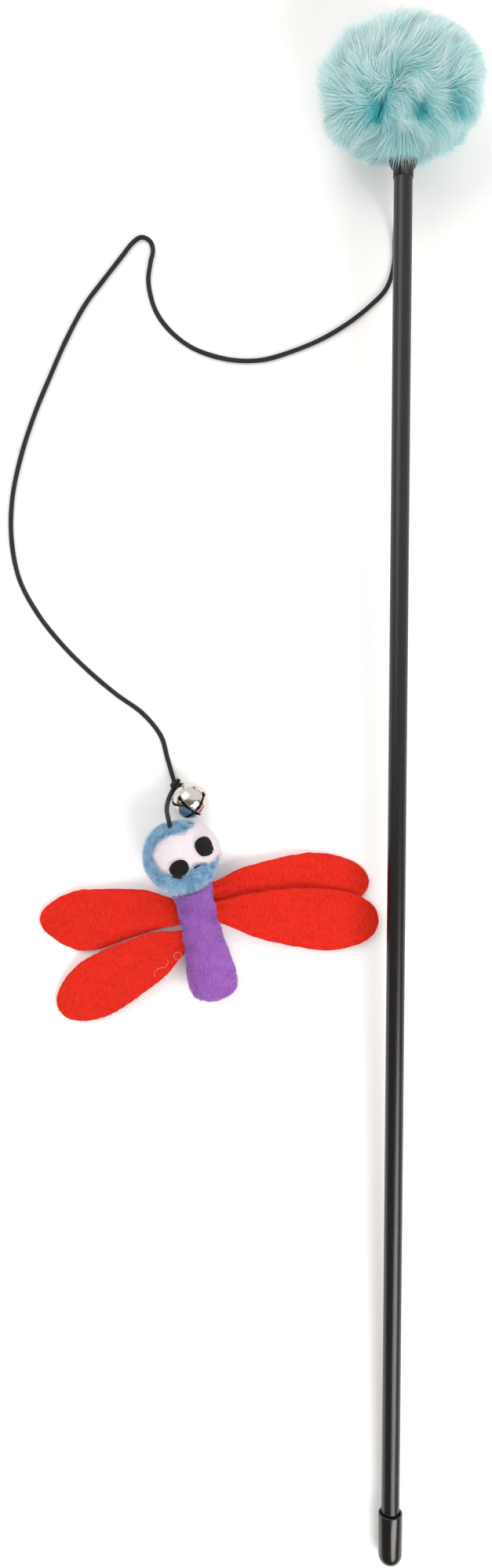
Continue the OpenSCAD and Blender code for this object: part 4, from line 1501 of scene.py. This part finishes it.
    def make(self) -> None:
        """Builds the patch, its fuzz, the pupils and the smile."""
        self.patch()
        self.patch_fuzz()
        for pupil in self.pupils:
            self.pupil(*pupil)
        self.smile()


# Body


@dataclass
class Body:
    """The stuffed body: a tube of brushed purple knit, ribbed along its length and gathered at the tail."""

    reach: float = 47.6
    width: float = 16.0
    height: float = 14.2
    right: float = 1.2
    neck_ball: float = 12.5
    neck_share: float = 0.79
    neck_rise: float = 2.1
    head_height: float = 11.1
    wales: int = 44
    course: float = 1.0
    rib_height: float = 0.4
    # Depth and number of the gathers at the tail, and depth of the pinches near the neck, as shares of the width
    gather: float = 0.06
    gathers: int = 9
    pinch: float = 0.035
    fibres: Nap = Nap(12000, (0.5, 1.2), (0.022, 0.042), 0.5, 0.2)
    clouds: float = 0.12
    # Least and greatest rise of the fibres, of which the tips keep 0.6, and how deep their roots are in the knit
    stand: Pair = (0.3, 0.6)
    root_depth: float = 0.6
    # How far from the tail, and how wide there, as shares of the length and the width
    shares: tuple[Pair, ...] = (
        (0, 0), (0.006, 0.25), (0.013, 0.42), (0.04, 0.69), (0.09, 0.91), (0.16, 1), (0.26, 1), (0.42, 0.89),
        (0.58, 0.8), (0.74, 0.75), (0.9, 0.78), (1, 0.84),
    )  # fmt: skip

    def neck(self) -> float:
        """Where the body meets the head, towards the cord."""
        return -self.neck_share * self.neck_ball

    def half_share(self, share: Array) -> Array:
        """Half width at a share of the length, as a share of half the width."""
        x, y = np.array(self.shares, float).T
        return np.interp(share, x, y)

    def places(self, share: Array, turn: Array, lift: Array | float) -> tuple[Array, Array]:
        """Places on the body and the directions out of it.

        Args:
            share: of the way from tail to neck.
            turn: radians round it from the top, to the left.
            lift: height over its outer size.

        Returns:
            Points and directions, in the lure's axes.
        """
        wide = self.half_share(share)
        gather = self.gather * bell_curve(share - 0.02, 0.05) * np.cos(self.gathers * turn)
        pinch = self.pinch * np.sin(share * 34 + 1.4 * np.sin(2 * turn)) * bell_curve(share - 0.72, 0.22)
        wide = wide * (1 + gather + pinch)
        y = mix(-self.reach, self.neck(), share)
        middle_z = mix(self.height / 2 - 0.5, self.head_height - self.neck_rise, share**1.6)
        out = np.stack([-np.sin(turn), 0 * turn, np.cos(turn)], -1)
        tail = bell_curve(share, 0.07)[..., None]
        out = unit(out * (1 - 0.75 * tail) + np.array([0.0, -1.0, 0.0]) * tail)
        x = self.right - self.width / 2 * wide * np.sin(turn)
        z = middle_z + self.height / 2 * wide * np.cos(turn)
        points = np.stack([x, y + 0 * turn, z], -1) + out * np.asarray(lift)[..., None]
        bulge = self.neck_ball**2 - (points[..., 0]) ** 2 - (points[..., 2] - self.head_height) ** 2
        points[..., 1] = np.minimum(points[..., 1], -np.sqrt(np.maximum(bulge, 0.5)))
        return above(points, 0.2), out

    def knit(self, share: Array, turn: Array) -> Array:
        """Height of the knit: ribs along the body, each a row of small slanted loops.

        Args:
            share: of the way from tail to neck.
            turn: radians round it from the top, to the left.

        Returns:
            One height for each place.
        """
        rib = turn / (2 * math.pi) * self.wales
        lean = np.abs((rib % 1) - 0.5)
        loop = 0.5 + 0.5 * np.cos(2 * math.pi * (share * self.reach / self.course + lean))
        return self.rib_height * np.abs(np.sin(math.pi * rib)) ** 0.7 * (0.55 + 0.45 * loop)

    def tube_shape(self, lift: float, rows: int, columns: int, knitted: bool) -> Shape:
        """The body's skin at a height, as rings from neck to tail.

        Args:
            lift: height over its outer size.
            rows: rings.
            columns: points in a ring.
            knitted: whether the knit is raised on it.

        Returns:
            The shape, in its place.
        """
        share = np.linspace(1, 0.0, rows)[:, None] ** 1.15 + np.zeros((1, columns))
        turn = np.broadcast_to(full_turn(columns), share.shape)
        relief = self.knit(share, turn) if knitted else 0
        slub = 0.12 * waves(np.stack([turn * 6, share * 40, 0 * turn], -1), 6, 61)
        points, _ = self.places(share, turn, lift + relief + slub)
        return skin(points).in_lure()

    def fuzz(self) -> Shape:
        """Fine fibres that lie mostly along the body, brushed towards the tail.

        Returns:
            The fibres, in their place.
        """
        rng = np.random.default_rng(62)
        count = self.fibres.count
        share, turn = rng.uniform(0, 1, count) ** 0.95, rng.uniform(0, 2 * math.pi, count)
        roots, out = self.places(share, turn, self.knit(share, turn) - self.root_depth)
        tail = np.array([0.0, -1.0, 0.0])
        way = unit(square_to(tail + 0.3 * rng.normal(size=(count, 1)) * np.cross(tail, out), out))
        t = root_to_tip(4)
        length = self.fibres.lengths(rng, count)
        stand = rng.uniform(*self.stand, (count, 1, 1))
        lines = roots[:, None] + way[:, None] * length * t + out[:, None] * stand * t * (1.6 - t)
        lines = above(strayed(rng, lines, 0.14), 0.1)
        return self.fibres.grown(from_lure(lines), rng, 64, self.clouds * waves(roots, 7, 63))

    def make(self) -> None:
        """Builds the filling, the knit and its fuzz."""
        filling = self.tube_shape(-1.6, 40, 40, False)
        build(filling, "body_filling", FILLING, "lure_body", ["body_stuffing"])
        cover = self.tube_shape(-0.7, 170, 264, True)
        build(cover, "body_knit", KNIT, "lure_body", ["body_cover"])
        build(self.fuzz(), "body_fuzz", KNIT_FUZZ, "lure_body")


# Wings


class Side(Enum):
    """The side of the body that a wing is sewn to."""

    LEFT = -1
    RIGHT = 1


@dataclass
class Wing:
    """A felt wing: it leaves the body's side, widens, and droops to the floor."""

    name: str
    side: Side
    root_y: float
    length: float
    turn_deg: float
    half: float
    lead_shares: tuple[float, ...]
    trail_shares: tuple[float, ...]
    root_z: float
    tip_z: float
    droop: float
    body: Body
    seed: int
    felt: float = 1.2
    tuck: float = 0.6
    blend_share: float = 0.3
    waviness: float = 0.006
    ripple: float = 0.12
    crease: float = 0.22
    nap: float = 0.045
    fibres: Nap = Nap(3600, (0.6, 1.6), (0.012, 0.022), 0.45, 0.25, (1.0, 0.9, 0.7))
    # Share of the fibres that stand out at the edge, and their least and greatest length
    edge_fibres: float = 0.35
    edge_length: Pair = (0.12, 0.4)
    # Area of the outline, as a share of its length times half its width
    area_share: float = 1.62
    # Loose pale fibres that lie curled on it, in the lure's own axes
    strays: tuple[tuple[Pair, ...], ...] = ()

    def ways(self) -> tuple[Array, Array]:
        """Direction from root to tip, and the direction of the edge nearer the head."""
        c, s, side = math.cos(math.radians(self.turn_deg)), math.sin(math.radians(self.turn_deg)), self.side.value
        return np.array([side * c, s]), np.array([-side * s, c])

    def middle_z(self, t: Array) -> Array:
        """Height of the felt's middle: a power of the share that is left to the tip."""
        return self.tip_z + (self.root_z - self.tip_z) * (1 - t) ** self.droop

    def side_x(self, y: Array | float) -> Array:
        """Half width of the body at a place along it."""
        span = self.body.reach + self.body.neck()
        return self.body.width / 2 * self.body.half_share((y + self.body.reach) / span)

    def root(self, tuck: float) -> Array:
        """Where the wing leaves the body's side, or so far inside it."""
        return np.array([self.body.right + self.side.value * (self.side_x(self.root_y) - tuck), self.root_y])

    def plan(self, u: Array, k: Array) -> Array:
        """Places on the wing seen from above.

        Args:
            u: share of a quarter circle from root to tip.
            k: 0 at the edge nearer the head, 1 at the edge nearer the tail.

        Returns:
            Points x and y in the lure's axes.
        """
        steps = np.linspace(0, 1, len(self.lead_shares))
        fine = np.linspace(0, 1, 8 * (len(steps) - 1) + 1)
        tables = curve_through(np.stack([steps, self.lead_shares, self.trail_shares], -1), 8)
        lead, trail = (np.interp(u, fine, np.maximum(tables[:, i], 0)) for i in (1, 2))
        wavy = 1 + self.waviness * waves(np.stack([u * 40, k, 0 * u], -1), 2.2, self.seed)
        t = np.sin(u * math.pi / 2)
        v = self.half * mix(lead * wavy, -trail * wavy, k)
        square = np.minimum(t / self.blend_share, 1)
        way, lead_way = self.ways()
        across = unit(mix(np.array([0.0, 1.0]), lead_way, square[..., None]))
        points = self.root(self.tuck) + way * ((self.length + self.tuck) * t)[..., None] + across * v[..., None]
        follow = self.side.value * (1 - square) * (self.side_x(self.root_y + v) - self.side_x(self.root_y))
        return points + np.stack([follow, 0 * follow], -1)

    def surface(self, u: Array, k: Array, lift: Array | float) -> Array:
        """Places on the felt at a height over its middle, with shallow waves in the cloth and creases at the root.

        Args:
            u: share of a quarter circle from root to tip.
            k: 0 at the edge nearer the head, 1 at the edge nearer the tail.
            lift: the height.

        Returns:
            Points in the lure's axes.
        """
        flat = self.plan(u, k)
        t = np.sin(u * math.pi / 2)
        ripple = self.ripple * waves(np.concatenate([flat, 0 * flat[..., :1]], -1), 14, self.seed + 1) * rise(t, 0, 0.4)
        crease = self.crease * np.cos(k * 19 + self.seed) * bell_curve(t, 0.16)
        z = self.middle_z(t) + lift + np.maximum(ripple, -0.1) + crease
        return np.concatenate([flat, np.maximum(z, 0.03)[..., None]], -1)

    def cloth(self) -> Shape:
        """The felt as a closed sheet: rings across it from root to tip, over the top and back below.

        Returns:
            The shape, in the lure's axes.
        """
        rows, half_columns = 150, 52
        u = (np.linspace(0, 1, rows) ** 0.9 * 0.998)[:, None]
        k = (1 - np.cos(math.pi * np.arange(half_columns + 1) / half_columns)) / 2
        ring = np.concatenate([k, k[-2:0:-1]])
        sign = np.concatenate([np.ones(half_columns + 1), -np.ones(half_columns - 1)])
        u, ring = np.broadcast_arrays(u, ring[None])
        edge = np.sqrt(np.clip(1 - np.abs(2 * ring - 1) ** 30, 0, 1))
        over = sign[None, :, None] + 0 * u[..., None]
        nap = self.nap * waves(np.concatenate([self.plan(u, ring), over], -1), 0.9, self.seed + 2)
        return skin(self.surface(u, ring, sign * (self.felt / 2 * edge + nap * edge)))

    def fuzz(self) -> Shape:
        """Loose fibres that lie on the felt and stand out at its edge.

        Returns:
            The fibres, in the lure's axes.
        """
        rng = np.random.default_rng(self.seed + 3)
        count = self.fibres.count
        t = rng.uniform(0.02, 0.999, count)
        u = np.arcsin(t) / (math.pi / 2)
        at_edge = rng.uniform(size=count) < self.edge_fibres
        k = np.where(at_edge, np.where(rng.uniform(size=count) < 0.5, 0.004, 0.996), rng.uniform(size=count))
        roots = self.surface(u, k, np.where(at_edge, 0.0, self.felt / 2 - 0.03))
        turn = rng.uniform(0, 2 * math.pi, count)
        way = np.stack([np.cos(turn), np.sin(turn), 0 * turn], -1)
        s = root_to_tip(4)
        short, long = (rng.uniform(*span, count) for span in (self.edge_length, self.fibres.length))
        length = np.where(at_edge, short, long)[:, None, None]
        bend = np.cross(way, [0, 0, 1.0]) * rng.normal(size=(count, 1)) * 0.25
        up = np.array([0.0, 0.0, 1.0]) * rng.uniform(0.05, 0.3, (count, 1, 1))
        lines = roots[:, None] + way[:, None] * length * s + bend[:, None] * length * s**2 + up * s * (1.3 - s)
        return self.fibres.grown(above(lines, 0.05), rng, self.seed)

    def stray_fibres(self, body: str) -> None:
        """The loose curled fibres, each a thin thread just over the felt.

        Args:
            body: the body that they ride on.
        """
        way, _ = self.ways()
        threads = []
        for points in self.strays:
            flat = curve_through(np.array(points), 8)
            share = np.clip((flat - self.root(0)) @ way / self.length, 0, 1)
            line = np.column_stack([flat, self.middle_z(share) + self.felt / 2 + 0.3])
            threads.append(tube(line, 0.055, 5, (0.0, 0.0, 1.0)))
        build(joined(threads).in_lure(), f"stray_fibres_{self.name}", STRAY, body)

    def make(self) -> None:
        node, body = f"wing_{self.name}", f"{self.name}_wing"
        made = build(self.cloth().in_lure(), f"felt_{node}", RED_FELT, body, [node])
        fuzz = build(self.fuzz().in_lure(), f"{node}_fuzz", RED_FUZZ, body)
        if self.strays:
            self.stray_fibres(body)


def four_wings(body: Body) -> list[Wing]:
    """The four wings. Half widths are shares at even steps of a quarter circle from root to tip.

    Args:
        body: the body that they are sewn to.

    Returns:
        The wings, left before right.
    """
    front, back = 10.9, 10.3
    curls = (
        ((-7.3, -31.7), (-6.8, -30.5), (-7.5, -29.5), (-8.8, -29.7), (-9.3, -30.8), (-8.5, -31.8),
         (-7.3, -31.7), (-6.8, -30.9), (-6.2, -32.8)),
        ((-11.5, -31.2), (-11.6, -32.3), (-12.9, -33.3), (-14.4, -33.3), (-15.8, -33.8), (-16.7, -34.7),
         (-16.7, -35.8)),
    )  # fmt: skip
    return [
        Wing("left_front", Side.LEFT, -17.1, 45.2, 8.6, front, (0.37, 0.66, 0.76, 0.8, 0.81, 0.67, 0.46, 0.24, 0),
             (0.39, 0.52, 0.73, 0.94, 1, 0.81, 0.53, 0.28, 0), 5.4, 0.6, 1.5, body, 201),
        Wing("left_back", Side.LEFT, -26.6, 46.6, -16.5, back, (0.36, 0.74, 0.9, 0.99, 0.97, 0.82, 0.57, 0.31, 0),
             (0.35, 0.65, 0.78, 0.88, 0.91, 0.79, 0.58, 0.33, 0), 7.05, 0.804, 1.0, body, 211, strays=curls),
        Wing("right_front", Side.RIGHT, -14.6, 50.3, -7.5, front, (0.39, 0.72, 0.89, 0.98, 0.96, 0.79, 0.57, 0.3, 0),
             (0.35, 0.53, 0.7, 0.88, 0.94, 0.8, 0.51, 0.27, 0), 5.4, 0.6, 1.5, body, 221),
        Wing("right_back", Side.RIGHT, -19.7, 52.3, -16.6, back, (0.34, 0.62, 0.82, 0.92, 0.92, 0.83, 0.64, 0.37, 0),
             (0.34, 0.64, 0.84, 0.96, 0.99, 0.86, 0.64, 0.35, 0), 7.05, 1.8, 1.0, body, 231),
    ]  # fmt: skip


def main() -> None:
    """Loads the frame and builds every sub-assembly in order."""
    logging.basicConfig(level=logging.INFO, format="%(message)s")
    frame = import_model()
    nodes = frame["nodes"]
    studio = Studio()
    studio.place_camera()
    cord = Cord()
    cord.make()
    knots = Knots(cord)
    knots.bell_knot()
    knots.lure_cord()
    studio.lay_floor()
    studio.hang_lamps()
    studio.paint_world()
    for name, finish, slot in (
        ("tube", ROD, "rod_plastic"), ("end_cap", VINYL, "cap_vinyl"), ("top_plug", PLUG, "rod_plastic"),
    ):  # fmt: skip
        build(nodes[name], f"rod_{name}", finish, "wand", [name])
    for name in ("plug_knot", "head_knot"):
        dress(nodes[name], ELASTIC)
    for name in ("crown", "petals", "eye"):
        node = f"bell_{name}"
        build(nodes[node], f"jingle_{node}", NICKEL, "bell", [node])
    build(nodes["bell_pellet"], "jingle_bell_pellet", STEEL, "pellet", ["bell_pellet"])
    PomPom().make()
    head = Head()
    face = Face(head)
    head.make(face)
    face.make()
    body = Body()
    body.make()
    for wing in four_wings(body):
        wing.make()


if __name__ == "__main__":
    main()
